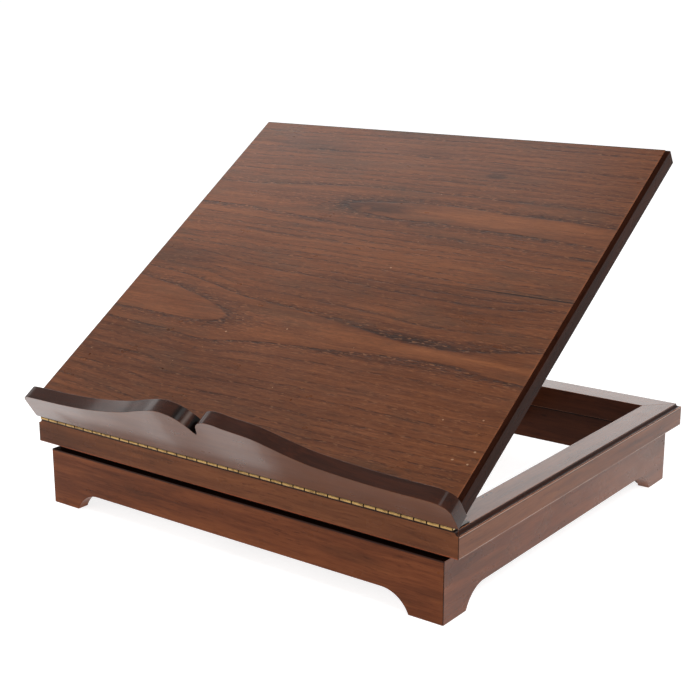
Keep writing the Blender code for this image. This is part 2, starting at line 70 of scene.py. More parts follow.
LIP_KEYS = [
    (-0.2532, 0.0230), (-0.2528, 0.0278), (-0.2510, 0.0305), (-0.2470, 0.0322),
    (-0.2330, 0.0330), (-0.2150, 0.0334), (-0.1950, 0.0341), (-0.1720, 0.0357),
    (-0.1500, 0.0384), (-0.1170, 0.0446), (-0.0960, 0.0501), (-0.0760, 0.0570),
    (-0.0560, 0.0628), (-0.0450, 0.0642), (-0.0360, 0.0628), (-0.0284, 0.0602),
    (-0.0218, 0.0556), (-0.0158, 0.0498), (-0.0122, 0.0448), (-0.0100, 0.0430),
    (-0.0084, 0.0447), (-0.0066, 0.0503), (-0.0044, 0.0555), (-0.0010, 0.0592),
    (0.0030, 0.0618), (0.0100, 0.0640), (0.0190, 0.0640), (0.0300, 0.0618),
    (0.0500, 0.0593), (0.0620, 0.0572), (0.0780, 0.0519), (0.0950, 0.0458),
    (0.1140, 0.0405), (0.1370, 0.0371), (0.1600, 0.0349), (0.1810, 0.0336),
    (0.2080, 0.0329), (0.2250, 0.0327), (0.2370, 0.0322), (0.2450, 0.0305),
    (0.2500, 0.0272), (0.2523, 0.0230), (0.2532, 0.0180),
]

PIVOT_Y = PIVOT_U * cos(TILT) - PIVOT_N * sin(TILT)
PIVOT_Z = HINGE_Z + PIVOT_U * sin(TILT) + PIVOT_N * cos(TILT)
LEAN = asin((PIVOT_Z - SLOT_Z) / ARM_LEN)

AT_HINGE = Matrix.Translation((0.0, FRONT, HINGE_Z))
BOARD = AT_HINGE @ Matrix.Rotation(TILT, 4, 'X')
PROP = BOARD @ Matrix.Translation((0.0, PIVOT_U, PIVOT_N)) @ Matrix.Rotation(-(LEAN + TILT), 4, 'X')
FOOT = PROP @ Matrix.Translation((0.0, ARM_LEN, 0.0))
FLAT = Matrix.Identity(4)
COLL = bpy.context.scene.collection


# ------------------------------------------------------------------ mesh tools
def xyz(axis, a, b, t):
    return {'x': (t, a, b), 'y': (a, t, b), 'z': (a, b, t)}[axis]


def prism(profile, axis, lo, hi, bm=None):
    bm = bm or bmesh.new()
    flo = lo if callable(lo) else (lambda a, b: lo)
    fhi = hi if callable(hi) else (lambda a, b: hi)
    v0 = [bm.verts.new(xyz(axis, a, b, flo(a, b))) for a, b in profile]
    v1 = [bm.verts.new(xyz(axis, a, b, fhi(a, b))) for a, b in profile]
    n = len(profile)
    bm.faces.new(v0)
    bm.faces.new(v1[::-1])
    for i in range(n):
        j = (i + 1) % n
        bm.faces.new((v0[j], v0[i], v1[i], v1[j]))
    return bm


def box(x0, x1, y0, y1, z0, z1, bm=None):
    return prism([(y0, z0), (y1, z0), (y1, z1), (y0, z1)], 'x', x0, x1, bm)


def circle(ca, cb, r, n, turn=0.0):
    return [(ca + r * cos(2 * pi * (i + turn) / n), cb + r * sin(2 * pi * (i + turn) / n))
            for i in range(n)]


def lathe(rings, axis, ca, cb, n, bm=None, closed=False):
    """Rings of (radius, station) joined in order; radius 0 closes an end; closed joins last to first."""
    bm = bm or bmesh.new()
    rows = []
    for r, t in rings:
        if r <= 0.0:
            rows.append([bm.verts.new(xyz(axis, ca, cb, t))])
        else:
            rows.append([bm.verts.new(xyz(axis, a, b, t)) for a, b in circle(ca, cb, r, n)])
    pairs = list(zip(rows, rows[1:])) + ([(rows[-1], rows[0])] if closed else [])
    for p, q in pairs:
        for i in range(n):
            j = (i + 1) % n
            if len(p) == 1:
                bm.faces.new((p[0], q[i], q[j]))
            elif len(q) == 1:
                bm.faces.new((p[i], p[j], q[0]))
            else:
                bm.faces.new((p[i], p[j], q[j], q[i]))
    return bm


def spline(keys, per=6):
    """Centripetal Catmull-Rom through the keys."""
    pts = [Vector((x, y)) for x, y in keys]
    pts = [2 * pts[0] - pts[1]] + pts + [2 * pts[-1] - pts[-2]]
    out = []
    for i in range(1, len(pts) - 2):
        p0, p1, p2, p3 = pts[i - 1:i + 3]
        t0 = 0.0
        t1 = t0 + (p1 - p0).length ** 0.5
        t2 = t1 + (p2 - p1).length ** 0.5
        t3 = t2 + (p3 - p2).length ** 0.5
        for k in range(per):
            t = t1 + (t2 - t1) * k / per
            a1 = (t1 - t) / (t1 - t0) * p0 + (t - t0) / (t1 - t0) * p1
            a2 = (t2 - t) / (t2 - t1) * p1 + (t - t1) / (t2 - t1) * p2
            a3 = (t3 - t) / (t3 - t2) * p2 + (t - t2) / (t3 - t2) * p3
            b1 = (t2 - t) / (t2 - t0) * a1 + (t - t0) / (t2 - t0) * a2
            b2 = (t3 - t) / (t3 - t1) * a2 + (t - t1) / (t3 - t1) * a3
            c = (t2 - t) / (t2 - t1) * b1 + (t - t1) / (t2 - t1) * b2
            out.append((c.x, c.y))
    out.append((pts[-2].x, pts[-2].y))
    return out


def to_mesh(name, bm):
    bmesh.ops.recalc_face_normals(bm, faces=bm.faces[:])
    me = bpy.data.meshes.new(name)
    bm.to_mesh(me)
    bm.free()
    return me


def carve(me, cuts, operation='DIFFERENCE'):
    """Mesh with the cutter bmeshes taken away (or added), as a new plain mesh."""
    ob = bpy.data.objects.new("carve_work", me)
    COLL.objects.link(ob)
    tools = []
    for bm in cuts:
        t = bpy.data.objects.new("carve_tool", to_mesh("carve_tool", bm))
        COLL.objects.link(t)
        t.hide_render = True
        tools.append(t)
        m = ob.modifiers.new("cut", 'BOOLEAN')
        m.operation = operation
        m.solver = 'EXACT'
        m.object = t
    dg = bpy.context.evaluated_depsgraph_get()
    out = bpy.data.meshes.new_from_object(ob.evaluated_get(dg))
    for o in [ob] + tools:
        bpy.data.objects.remove(o, do_unlink=True)
    return out


def piece(name, mesh, mat, body, nodes=(), at=FLAT, bevel=0.0, segs=3, angle=30, sharp=40, second=(),
          arris=None):
    """second lists (material, test of a face) for faces with another finish, painted shade or a painted highlight;
    arris gives the softened edges their own colour, a painted highlight on the top rails.
    """
    me = mesh if isinstance(mesh, bpy.types.Mesh) else to_mesh(name, mesh)
    me.name = name
    me.materials.clear()
    me.materials.append(mat)
    for i, (other, test) in enumerate(second):
        me.materials.append(other)
        for f in me.polygons:
            if test(f):
                f.material_index = i + 1
    if arris is not None:
        me.materials.append(arris)
    me.shade_smooth()
    if bevel <= 0.0:
        me.set_sharp_from_angle(angle=radians(sharp))
    ob = bpy.data.objects.new(name, me)
    COLL.objects.link(ob)
    ob.matrix_world = at
    if bevel > 0.0:
        b = ob.modifiers.new("arris", 'BEVEL')
        b.width = bevel
        b.segments = segs
        b.limit_method = 'ANGLE'
        b.angle_limit = radians(angle)
        b.harden_normals = True
        b.use_clamp_overlap = True
        if arris is not None:
            b.material = len(me.materials) - 1
    if nodes:
        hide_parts(*((nodes,) if isinstance(nodes, str) else nodes))
    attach(ob, body)
    return ob


def dress(node, mat, bevel=0.0, segs=2, angle=35):
    """A CAD node keeps its shape: it gets its finish and softened arrises."""
    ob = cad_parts[node]
    if not ob.material_slots:
        ob.data.materials.append(None)
    for s in ob.material_slots:
        s.material = mat
    if bevel > 0.0:
        w = ob.modifiers.new("weld", 'WELD')
        w.merge_threshold = 0.00001
        b = ob.modifiers.new("arris", 'BEVEL')
        b.width = bevel
        b.segments = segs
        b.limit_method = 'ANGLE'
        b.angle_limit = radians(angle)
        b.use_clamp_overlap = True
    return ob


# ------------------------------------------------------------------ shader tools
class Mat:
    def __init__(self, name):
        self.m = bpy.data.materials.new(name)
        self.m.use_nodes = True
        self.nt = self.m.node_tree
        self.p = self.nt.nodes["Principled BSDF"]

    def node(self, kind):
        return self.nt.nodes.new(kind)

    def put(self, sock, v):
        if isinstance(v, bpy.types.NodeSocket):
            self.nt.links.new(v, sock)
        else:
            sock.default_value = v

    def math(self, op, a, b=0.0, c=0.0, clamp=False):
        n = self.node("ShaderNodeMath")
        n.operation = op
        n.use_clamp = clamp
        for i, v in enumerate((a, b, c)):
            self.put(n.inputs[i], v)
        return n.outputs[0]

    def coords(self, along='x', seed=0.0):
        """Object coordinates in mm as (along the grain, across, depth)."""
        tc = self.node("ShaderNodeTexCoord")
        sp = self.node("ShaderNodeSeparateXYZ")
        self.nt.links.new(tc.outputs["Object"], sp.inputs[0])
        o = {'x': sp.outputs[0], 'y': sp.outputs[1], 'z': sp.outputs[2]}
        rest = [k for k in 'xyz' if k != along]
        a = self.math('MULTIPLY_ADD', o[along], 1000.0, seed)
        b = self.math('MULTIPLY_ADD', o[rest[0]], 1000.0, seed * 0.37)
        c = self.math('MULTIPLY_ADD', o[rest[1]], 1000.0, seed * 0.73)
        return a, b, c

    def vec(self, a, b, c=0.0):
        n = self.node("ShaderNodeCombineXYZ")
        for i, v in enumerate((a, b, c)):
            self.put(n.inputs[i], v)
        return n.outputs[0]

    def noise(self, abc, sizes, detail=3.0, rough=0.5, dist=0.0):
        """Noise with feature sizes in mm along each of the three directions; 0 to 1."""
        v = self.vec(*[self.math('DIVIDE', q, s) for q, s in zip(abc, sizes)])
        n = self.node("ShaderNodeTexNoise")
        n.inputs["Scale"].default_value = 1.0
        n.inputs["Detail"].default_value = detail
        n.inputs["Roughness"].default_value = rough
        n.inputs["Distortion"].default_value = dist
        self.nt.links.new(v, n.inputs["Vector"])
        return n.outputs["Fac"]

    def remap(self, v, a, b, c, d, smooth=False, clamp=True):
        n = self.node("ShaderNodeMapRange")
        n.interpolation_type = 'SMOOTHSTEP' if smooth else 'LINEAR'
        n.clamp = clamp
        for i, x in enumerate((v, a, b, c, d)):
            self.put(n.inputs[i], x)
        return n.outputs[0]

    def ramp(self, v, stops):
        n = self.node("ShaderNodeValToRGB")
        e = n.color_ramp.elements
        while len(e) < len(stops):
            e.new(0.5)
        for el, (pos, col) in zip(e, stops):
            el.position = pos
            el.color = (col[0], col[1], col[2], 1.0)
        self.put(n.inputs[0], v)
        return n.outputs[0]

    def curve(self, v, lo_in, hi_in, lo_out, hi_out, pts, straight=False):
        """Float curve through pts given in real units."""
        x = self.remap(v, lo_in, hi_in, 0.0, 1.0)
        n = self.node("ShaderNodeFloatCurve")
        cu = n.mapping.curves[0]
        norm = [((a - lo_in) / (hi_in - lo_in), (b - lo_out) / (hi_out - lo_out)) for a, b in pts]
        while len(cu.points) < len(norm):
            cu.points.new(0.5, 0.5)
        for q, (a, b) in zip(cu.points, norm):
            q.location = (a, b)
            q.handle_type = 'VECTOR' if straight else 'AUTO'
        n.mapping.update()
        self.nt.links.new(x, n.inputs["Value"])
        return self.math('MULTIPLY_ADD', n.outputs[0], hi_out - lo_out, lo_out)

    def mix(self, fac, a, b, kind='MIX'):
        n = self.node("ShaderNodeMix")
        n.data_type = 'RGBA'
        n.blend_type = kind
        self.put(n.inputs["Factor"], fac)
        for s, v in ((n.inputs[6], a), (n.inputs[7], b)):
            self.put(s, v if isinstance(v, bpy.types.NodeSocket) else (v[0], v[1], v[2], 1.0))
        return n.outputs[2]

    def bump(self, height, distance, strength=1.0, normal=None):
        n = self.node("ShaderNodeBump")
        n.inputs["Strength"].default_value = strength
        n.inputs["Distance"].default_value = distance
        self.nt.links.new(height, n.inputs["Height"])
        if normal is not None:
            self.nt.links.new(normal, n.inputs["Normal"])
        return n.outputs[0]

    def set(self, **kw):
        for k, v in kw.items():
            self.put(self.p.inputs[k.replace("_", " ")], v)
        return self


def wood(name, along, dark, mid, light, seed=0.0, rough=0.30, spec=0.5, coat=0.0,
         coat_rough=0.12, streak=1.0, pores=1.0, smudge=0.0):
    """Stained, lacquered timber: soft colour streaks, fibre, pores and a worn lacquer skin."""
    m = Mat(name)
    a, b, c = m.coords(along, seed)
    wander = m.math('MULTIPLY_ADD', m.noise((a, b, c), (90.0, 45.0, 45.0), 2.0), 9.0, -4.5)
    b2 = m.math('ADD', b, wander)
    c2 = m.math('ADD', c, wander)
    big = m.noise((a, b2, c2), (260.0, 15.0, 15.0), 3.0, 0.55)
    band = m.noise((a, b2, c2), (95.0, 4.6, 4.6), 4.0, 0.6)
    fine = m.noise((a, b2, c2), (30.0, 1.9, 1.9), 3.0, 0.6)
    t = m.math('MULTIPLY_ADD', big, 0.46, m.math('MULTIPLY_ADD', band, 0.32, m.math('MULTIPLY', fine, 0.22)))
    t = m.math('MULTIPLY_ADD', m.math('SUBTRACT', t, 0.5), 2.9 * streak, 0.5, clamp=True)
    col = m.ramp(t, [(0.0, dark), (0.5, mid), (1.0, light)])
    pore = m.noise((a, b2, c2), (12.0, 1.4, 1.4), 2.0, 0.5)
    tick = m.remap(pore, 0.56, 0.68, 0.0, 1.0, True)
    patch = m.remap(m.noise((a, b, c), (70.0, 9.0, 9.0), 2.0), 0.42, 0.62, 0.25, 1.0)
    tick = m.math('MULTIPLY', m.math('MULTIPLY', tick, patch), 0.55 * pores)
    col = m.mix(tick, col, [x * 0.35 for x in dark])
    if smudge:
        blot = m.remap(m.noise((a, b, c), (110.0, 20.0, 20.0), 4.0, 0.6), 0.48, 0.70, 0.0, smudge, True)
        col = m.mix(blot, col, (dark[0] * 0.42, dark[1] * 0.62, dark[2] * 0.75))
    m.set(Base_Color=col)
    haze = m.noise((a, b, c), (28.0, 17.0, 17.0), 3.0)
    m.set(Roughness=m.remap(haze, 0.3, 0.7, rough - 0.04, rough + 0.06))
    m.p.inputs["Specular IOR Level"].default_value = spec
    m.p.inputs["Coat Weight"].default_value = coat
    m.p.inputs["Coat Roughness"].default_value = coat_rough
    h = m.math('SUBTRACT', m.math('MULTIPLY', fine, 0.35), m.math('MULTIPLY', tick, 0.8))
    skin = m.noise((a, b, c), (7.0, 5.0, 5.0), 2.0)
    n1 = m.bump(skin, 0.00010, 0.35)
    m.set(Normal=m.bump(h, 0.00006, 0.6, n1))
    return m.m


def again(mat):
    """Shader tools for a material that is already made."""
    m = Mat.__new__(Mat)
    m.m, m.nt = mat, mat.node_tree
    m.p = m.nt.nodes["Principled BSDF"]
    return m


def tint(m, f, col):
    old = m.p.inputs["Base Color"].links[0].from_socket
    m.set(Base_Color=m.mix(f, old, col))


def band(mat, axis, lo, hi, soft, col, amount, broken=0.0, run=(30.0, 30.0, 30.0)):
    """A strip of another colour between two planes of the piece (mm): grime in a joint, a painted highlight or painted
    shade along an edge.
    """
    m = again(mat)
    abc = m.coords('x')
    v = abc['xyz'.index(axis)]
    f = m.math('MULTIPLY', m.remap(v, lo - soft, lo + soft, 0.0, amount, True),
               m.remap(v, hi - soft, hi + soft, 1.0, 0.0, True))
    if broken:
        f = m.math('MULTIPLY', f, m.remap(m.noise(abc, run, 3.0), 0.40, 0.58, 1.0 - broken, 1.0))
    tint(m, f, col)


def marks(mat, axes, spots, col, amount=1.0):
    """Small dents or specks: (centre a, centre b, half-length, half-width, turn) in mm on two axes."""
    m = again(mat)
    abc = m.coords('x')
    p, q = abc['xyz'.index(axes[0])], abc['xyz'.index(axes[1])]
    tot = None
    for ca, cb, ra, rb, an in spots:
        u, w = m.math('SUBTRACT', p, ca), m.math('SUBTRACT', q, cb)
        x = m.math('MULTIPLY_ADD', u, cos(an) / ra, m.math('MULTIPLY', w, sin(an) / ra))
        y = m.math('MULTIPLY_ADD', w, cos(an) / rb, m.math('MULTIPLY', u, -sin(an) / rb))
        f = m.remap(m.math('MULTIPLY_ADD', x, x, m.math('MULTIPLY', y, y)), 0.5, 1.5, amount, 0.0, True)
        tot = f if tot is None else m.math('MAXIMUM', tot, f)
    tint(m, tot, col)


def veneer(name):
    """The album board's ring-porous veneer: two flat-sawn leaves, each with its own cathedral figure."""
    m = Mat(name)
    tc = m.node("ShaderNodeTexCoord")
    sp = m.node("ShaderNodeSeparateXYZ")
    m.nt.links.new(tc.outputs["Object"], sp.inputs[0])
    # s runs left to right and v down from the back edge, both in millimetres
    s = m.math('MULTIPLY_ADD', sp.outputs[0], 1000.0, 252.5)
    v = m.math('MULTIPLY_ADD', sp.outputs[1], -1000.0, 459.3)
    d = m.math('MULTIPLY', sp.outputs[2], 1000.0)
    q = (s, v, d)
    w1 = m.math('MULTIPLY_ADD', m.noise(q, (95.0, 34.0, 60.0), 2.0), 7.0, -3.5)
    w2 = m.math('MULTIPLY_ADD', m.noise(q, (16.0, 12.0, 12.0), 2.0), 1.7, -0.85)
    w3 = m.math('MULTIPLY_ADD', m.noise(q, (3.2, 2.6, 3.0), 2.0), 0.55, -0.275)
    vw = m.math('ADD', v, m.math('ADD', w1, m.math('ADD', w2, w3)))
    lower = m.math('GREATER_THAN', v, 218.0)

    def leaf(axis_pts, depth_pts, ring_pts):
        axis = m.curve(s, 0.0, 505.0, 0.0, 500.0, axis_pts)
        depth = m.curve(s, 0.0, 505.0, 0.0, 60.0, depth_pts)
        off = m.math('SUBTRACT', vw, axis)
        r = m.math('SQRT', m.math('ADD', m.math('MULTIPLY', off, off), m.math('MULTIPLY', depth, depth)))
        top = ring_pts[-1][0]
        return m.curve(r, 0.0, top, 0.0, 40.0, ring_pts, straight=True), r

    K = 0.3369
    up_r = [(0, 0), (36 * K, 1), (90 * K, 2), (121 * K, 3), (145 * K, 4), (166 * K, 5)]
    up_r += [(166 * K + 6.9 * 35, 40)]
    lo_r = [(0, 0), (68 * K, 1), (116 * K, 2), (147 * K, 3), (173 * K, 4), (199 * K, 5), (223 * K, 6), (248 * K, 7)]
    lo_r += [(248 * K + 7.8 * 33, 40)]
    ga, ra = leaf([(0, 126.5), (250, 126.0), (380, 127.5), (505, 132.0)],
                  [(0, 25.3), (85, 23.6), (150, 18.6), (200, 12.4), (250, 7.2), (303, 2.7), (400, 1.0), (505, 1.0)], up_r)
    gb, rb = leaf([(0, 290.5), (84, 295.8), (148, 303.5), (202, 302.0), (337, 303.9), (438, 303.2), (505, 299.8)],
                  [(0, 4.0), (50, 11.8), (84, 16.2), (118, 19.5), (148, 22.9), (202, 30.0), (270, 34.4),
                   (337, 37.4), (404, 38.4), (438, 38.1), (482, 36.0), (505, 34.4)], lo_r)
    g = m.math('ADD', m.math('MULTIPLY', ga, m.math('SUBTRACT', 1.0, lower)),
               m.math('MULTIPLY', m.math('ADD', gb, 50.0), lower))
    k = m.math('FLOOR', g)
    t = m.math('SUBTRACT', g, k)
    wn = m.node("ShaderNodeTexWhiteNoise")
    wn.noise_dimensions = '1D'
    m.nt.links.new(m.math('MULTIPLY_ADD', k, 1.37, 4.2), wn.inputs["W"])
    lone = wn.outputs["Value"]
    kk = m.math('SUBTRACT', k, m.math('MULTIPLY', lower, 50.0))
    strong = m.remap(kk, 2.6, 3.6, 1.0, 0.0)
    amp = m.math('MAXIMUM', m.math('MULTIPLY_ADD', lone, 0.62, 0.28),
                 m.math('MULTIPLY', strong, 1.0))
    first = m.math('LESS_THAN', kk, 0.5)
    amp = m.math('MULTIPLY', amp, m.math('SUBTRACT', 1.0, m.math('MULTIPLY', first, 0.9)))
    onset = m.remap(t, 0.0, 0.07, 0.0, 1.0, True)
    back = m.math('SUBTRACT', 1.0, t)
    thin = m.math('POWER', back, m.math('MULTIPLY_ADD', strong, -1.5, 8.5))
    wide = m.math('POWER', back, 2.4)
    run = m.remap(m.noise(q, (75.0, 5.0, 20.0), 2.0), 0.36, 0.62, 0.10, 1.0)
    # the early wood is rows of open pores, so its lines break into short straight dashes
    dash = m.remap(m.noise(q, (24.0, 2.2, 3.0), 2.0, 0.5), 0.43, 0.54, 0.0, 1.0, True)
    tick = m.remap(m.noise((m.math('ADD', s, 70.0), v, d), (9.5, 1.65, 3.0), 2.0, 0.5), 0.52, 0.62, 0.0, 1.0, True)
    glint = m.remap(m.noise((m.math('ADD', s, 190.0), v, d), (8.0, 1.5, 3.0), 2.0, 0.5), 0.57, 0.66, 0.0, 1.0, True)
    keep = m.math('MULTIPLY_ADD', strong, 0.38, 0.22)
    broken = m.math('MULTIPLY_ADD', m.math('SUBTRACT', 1.0, keep), dash, keep)
    early = m.math('MULTIPLY', onset, amp)
    line = m.math('MULTIPLY', m.math('MULTIPLY', m.math('MULTIPLY', early, broken), run), thin)
    shade = m.math('MULTIPLY', m.math('MULTIPLY', early, 0.50), wide)

    sq = (s, vw, d)
    fibre = m.noise(sq, (46.0, 1.8, 3.0), 4.0, 0.62)
    mottle = m.noise(q, (10.0, 2.3, 3.0), 3.0, 0.6)
    soft = m.noise(sq, (150.0, 6.5, 20.0), 3.0, 0.5)
    tone = m.math('MULTIPLY_ADD', m.math('SUBTRACT', fibre, 0.5), 1.05,
                  m.math('MULTIPLY', m.math('SUBTRACT', soft, 0.5), 1.15))
    tone = m.math('MULTIPLY_ADD', m.math('SUBTRACT', mottle, 0.5), 0.55, tone)
    gate = m.math('MULTIPLY_ADD', m.math('MULTIPLY', early, m.math('POWER', back, 2.2)), 0.95, 0.16)
    pits = m.math('MULTIPLY', tick, m.math('MINIMUM', gate, 1.0))

    # soft local tones: (centre s, v, half-length, half-width, amount); minus is darker
    blobs = [(229, 125.5, 48, 8.5, -0.95), (220, 128, 8, 3.4, 0.75), (385, 126.5, 118, 9.0, 0.62),
             (390, 303, 130, 5.5, 0.42), (215, 302, 95, 15, 0.22), (62, 298, 66, 15, 0.10),
             (95, 38, 62, 10, -0.42), (34, 232, 62, 15, -0.40), (344, 62, 12, 4.5, -0.75),
             (370, 236, 150, 15, -0.32), (330, 190, 170, 22, 0.26), (75, 370, 150, 42, -0.30),
             (420, 290, 90, 6, -0.25), (350, 288, 62, 4.5, -0.55), (150, 145, 70, 12, -0.10),
             (430, 400, 90, 40, 0.12), (60, 150, 90, 30, 0.12)]
    tot = None
    for cs, cv, hs, hv, am in blobs:
        ds = m.math('DIVIDE', m.math('SUBTRACT', s, cs), hs)
        dv = m.math('DIVIDE', m.math('SUBTRACT', vw, cv), hv)
        rr = m.math('ADD', m.math('MULTIPLY', ds, ds), m.math('MULTIPLY', dv, dv))
        f = m.remap(rr, 0.0, 1.6, am, 0.0, True)
        tot = f if tot is None else m.math('ADD', tot, f)
    tone = m.math('ADD', tone, m.math('MULTIPLY', tot, 0.72))
    dark = m.math('MAXIMUM', line, 0.0)
    tone = m.math('SUBTRACT', tone, shade)
    base = m.ramp(m.math('MULTIPLY_ADD', tone, 0.55, 0.52, clamp=True), VENEER_STOPS)
    # greener, greyer smudges where the stain took less red
    grey = m.remap(m.noise(q, (110.0, 20.0, 40.0), 4.0, 0.6), 0.48, 0.68, 0.0, 0.50, True)
    base = m.mix(grey, base, VENEER_GREY)
    col = m.mix(m.math('MULTIPLY', dark, 1.0, clamp=True), base, VENEER_LINE)
    col = m.mix(m.math('MULTIPLY', pits, 0.80, clamp=True), col, VENEER_PORE)
    # pale filler glinting among the pores
    pale = m.math('MULTIPLY', glint, m.math('MULTIPLY_ADD', m.math('MULTIPLY', early, back), 0.38, 0.05))
    col = m.mix(m.math('MINIMUM', pale, 1.0), col, (0.300, 0.125, 0.055))
    # hairline where the two leaves meet, open at the right-hand end
    seam = m.math('ABSOLUTE', m.math('SUBTRACT', m.math('ADD', v, m.math('MULTIPLY', w2, 0.5)), 218.0))
    seam = m.math('MULTIPLY', m.remap(seam, 0.35, 0.95, 1.0, 0.0, True), m.remap(s, 350.0, 430.0, 0.0, 0.95, True))
    col = m.mix(seam, col, (0.007, 0.004, 0.003))
    # a few pale specks in the lacquer
    sn = m.node("ShaderNodeTexVoronoi")
    sn.inputs["Scale"].default_value = 1.0
    m.nt.links.new(m.vec(m.math('DIVIDE', s, 11.0), m.math('DIVIDE', v, 7.0), 0.0), sn.inputs["Vector"])
    speck = m.math('LESS_THAN', sn.outputs["Distance"], 0.035)
    wc = m.node("ShaderNodeSeparateColor")
    m.nt.links.new(sn.outputs["Color"], wc.inputs[0])
    speck = m.math('MULTIPLY', speck, m.math('GREATER_THAN', wc.outputs[0], 0.93))
    col = m.mix(m.math('MULTIPLY', speck, 0.8), col, (0.55, 0.38, 0.24))
    m.set(Base_Color=col)
    haze = m.noise(q, (40.0, 22.0, 22.0), 3.0)
    m.set(Roughness=m.remap(haze, 0.3, 0.7, 0.27, 0.37))
    m.p.inputs["Specular IOR Level"].default_value = 0.20
    h = m.math('SUBTRACT', m.math('MULTIPLY', fibre, 0.25),
               m.math('ADD', m.math('MULTIPLY', line, 0.9), pits))
    n1 = m.bump(m.noise(q, (9.0, 6.0, 6.0), 2.0), 0.00012, 0.3)
    m.set(Normal=m.bump(h, 0.00010, 0.7, n1))
    return m.m


def metal(name, rgb, dark, rough=0.22, grain=None, seed=0.0, tarnish=0.35):
    """Bare or lacquered metal: fine turning or drawing lines and tarnish."""
    m = Mat(name)
    a, b, c = m.coords('x', seed)
    blot = m.noise((a, b, c), (6.0, 3.0, 3.0), 4.0, 0.6)
    sizes = grain or (0.25, 6.0, 6.0)
    lines = m.noise((a, b, c), sizes, 2.0, 0.6)
    f = m.math('MULTIPLY', m.remap(blot, 0.42, 0.70, 0.0, 1.0, True), tarnish)
    col = m.mix(f, rgb, dark)
    col = m.mix(m.math('MULTIPLY', lines, 0.25), col, [x * 0.7 for x in rgb])
    m.set(Base_Color=col)
    m.p.inputs["Metallic"].default_value = 1.0
    m.set(Roughness=m.remap(m.math('ADD', m.math('MULTIPLY', blot, 0.6), m.math('MULTIPLY', lines, 0.4)),
                            0.3, 0.7, rough - 0.05, rough + 0.16))
    m.set(Normal=m.bump(lines, 0.00003, 0.4))
    return m.m


def rubber(name):
    m = Mat(name)
    a, b, c = m.coords('x')
    n = m.noise((a, b, c), (0.35, 0.35, 0.35), 3.0)
    dust = m.remap(m.noise((a, b, c), (5.0, 5.0, 5.0), 3.0), 0.45, 0.7, 0.0, 1.0)
    m.set(Base_Color=m.mix(m.math('MULTIPLY', dust, 0.35), (0.012, 0.012, 0.012), (0.05, 0.048, 0.045)))
    m.set(Roughness=m.remap(n, 0.3, 0.7, 0.62, 0.82))
    m.set(Normal=m.bump(n, 0.00008, 0.5))
    return m.m


# linear colours
VENEER_STOPS = [(0.0, (0.027, 0.0086, 0.0038)), (0.28, (0.070, 0.0212, 0.0080)), (0.52, (0.120, 0.0375, 0.0134)),
                (0.76, (0.172, 0.0570, 0.0200)), (1.0, (0.240, 0.0820, 0.0290))]
VENEER_GREY = (0.068, 0.0300, 0.0155)
VENEER_LINE = (0.012, 0.0062, 0.0048)
VENEER_PORE = (0.022, 0.0090, 0.0055)
RAIL = ((0.072, 0.0210, 0.0078), (0.134, 0.0420, 0.0150), (0.200, 0.0660, 0.0230))
BASE = ((0.066, 0.0165, 0.0056), (0.136, 0.0370, 0.0120), (0.205, 0.0600, 0.0190))
DEEP = ((0.016, 0.0045, 0.0021), (0.028, 0.0075, 0.0033), (0.050, 0.0125, 0.0048))
# INSIDE is a darker copy of the rail wood for the inward faces: painted shade
INSIDE = ((0.026, 0.0070, 0.0028), (0.050, 0.0130, 0.0048), (0.084, 0.0230, 0.0080))
# INNER is near-black for the hidden ledges and neck strips in the gap under the top frame: painted shade
INNER = ((0.006, 0.0025, 0.0018), (0.013, 0.0050, 0.0030), (0.024, 0.0085, 0.0050))
RAW = ((0.060, 0.026, 0.014), (0.105, 0.048, 0.026), (0.150, 0.072, 0.038))
# pale red for painted highlights on the rails' softened edges, step ledge and lower arrises
PAINTED_HIGHLIGHT = (0.200, 0.0620, 0.0240)
# near-black for grime in the mitre joints and for painted shade lines in gaps and under overhangs
GRIME_AND_SHADE = (0.012, 0.0050, 0.0035)

M_PANEL = veneer("wood_board_veneer")
M_UNDER = wood("wood_board_underside", 'x', *RAIL, seed=5.0, rough=0.42, spec=0.15)
M_EDGE_L = wood("wood_board_edge_left", 'y', *[[c * 0.8 for c in q] for q in DEEP], seed=31.0, rough=0.26, spec=0.03)
M_EDGE_R = wood("wood_board_edge_right", 'y', *[[c * 0.8 for c in q] for q in DEEP], seed=57.0, rough=0.26, spec=0.03)
M_EDGE_B = wood("wood_board_edge_back", 'x', *[[c * 0.8 for c in q] for q in DEEP], seed=83.0, rough=0.26, spec=0.03)
M_LIP = wood("wood_album_lip", 'x', *DEEP, seed=11.0, rough=0.16, spec=0.30, pores=0.3)
M_LIP_FACE = wood("wood_album_lip_face", 'x', *[[c * 0.74 for c in q] for q in RAIL], seed=11.0, rough=0.30,
                  spec=0.10, pores=0.0, streak=0.5,
                  coat=1.0, coat_rough=0.16)
# the face was rubbed brighter towards its left end
_fm = again(M_LIP_FACE)
_fa, _fb, _fc = _fm.coords('x')
_fn = _fm.math('MULTIPLY_ADD', _fm.noise((_fa, _fb, _fc), (60.0, 30.0, 30.0), 2.0), 16.0, -8.0)
_fw = _fm.curve(_fm.math('ADD', _fa, _fn), -260.0, 260.0, 0.0, 1.0,
                              [(-260, 0.84), (-235, 0.80), (-200, 0.80), (-144, 0.54), (-105, 0.50), (-68, 0.60),
                               (-45, 0.34), (-27, 0.28), (-5, 0.36), (15, 0.50), (40, 0.54), (70, 0.20), (100, 0.00),
                               (161, 0.00), (232, 0.01), (260, 0.08)])
_fz = _fm.remap(_fm.math('ADD', _fc, _fm.math('MULTIPLY', _fn, 0.25)), BOARD_LOW * 1000 + 3.0, BOARD_LOW * 1000 + 24.0,
                0.30, 1.0, True)
_fz = _fm.math('MAXIMUM', _fz, _fm.remap(_fa, -222.0, -195.0, 1.0, 0.42, True))
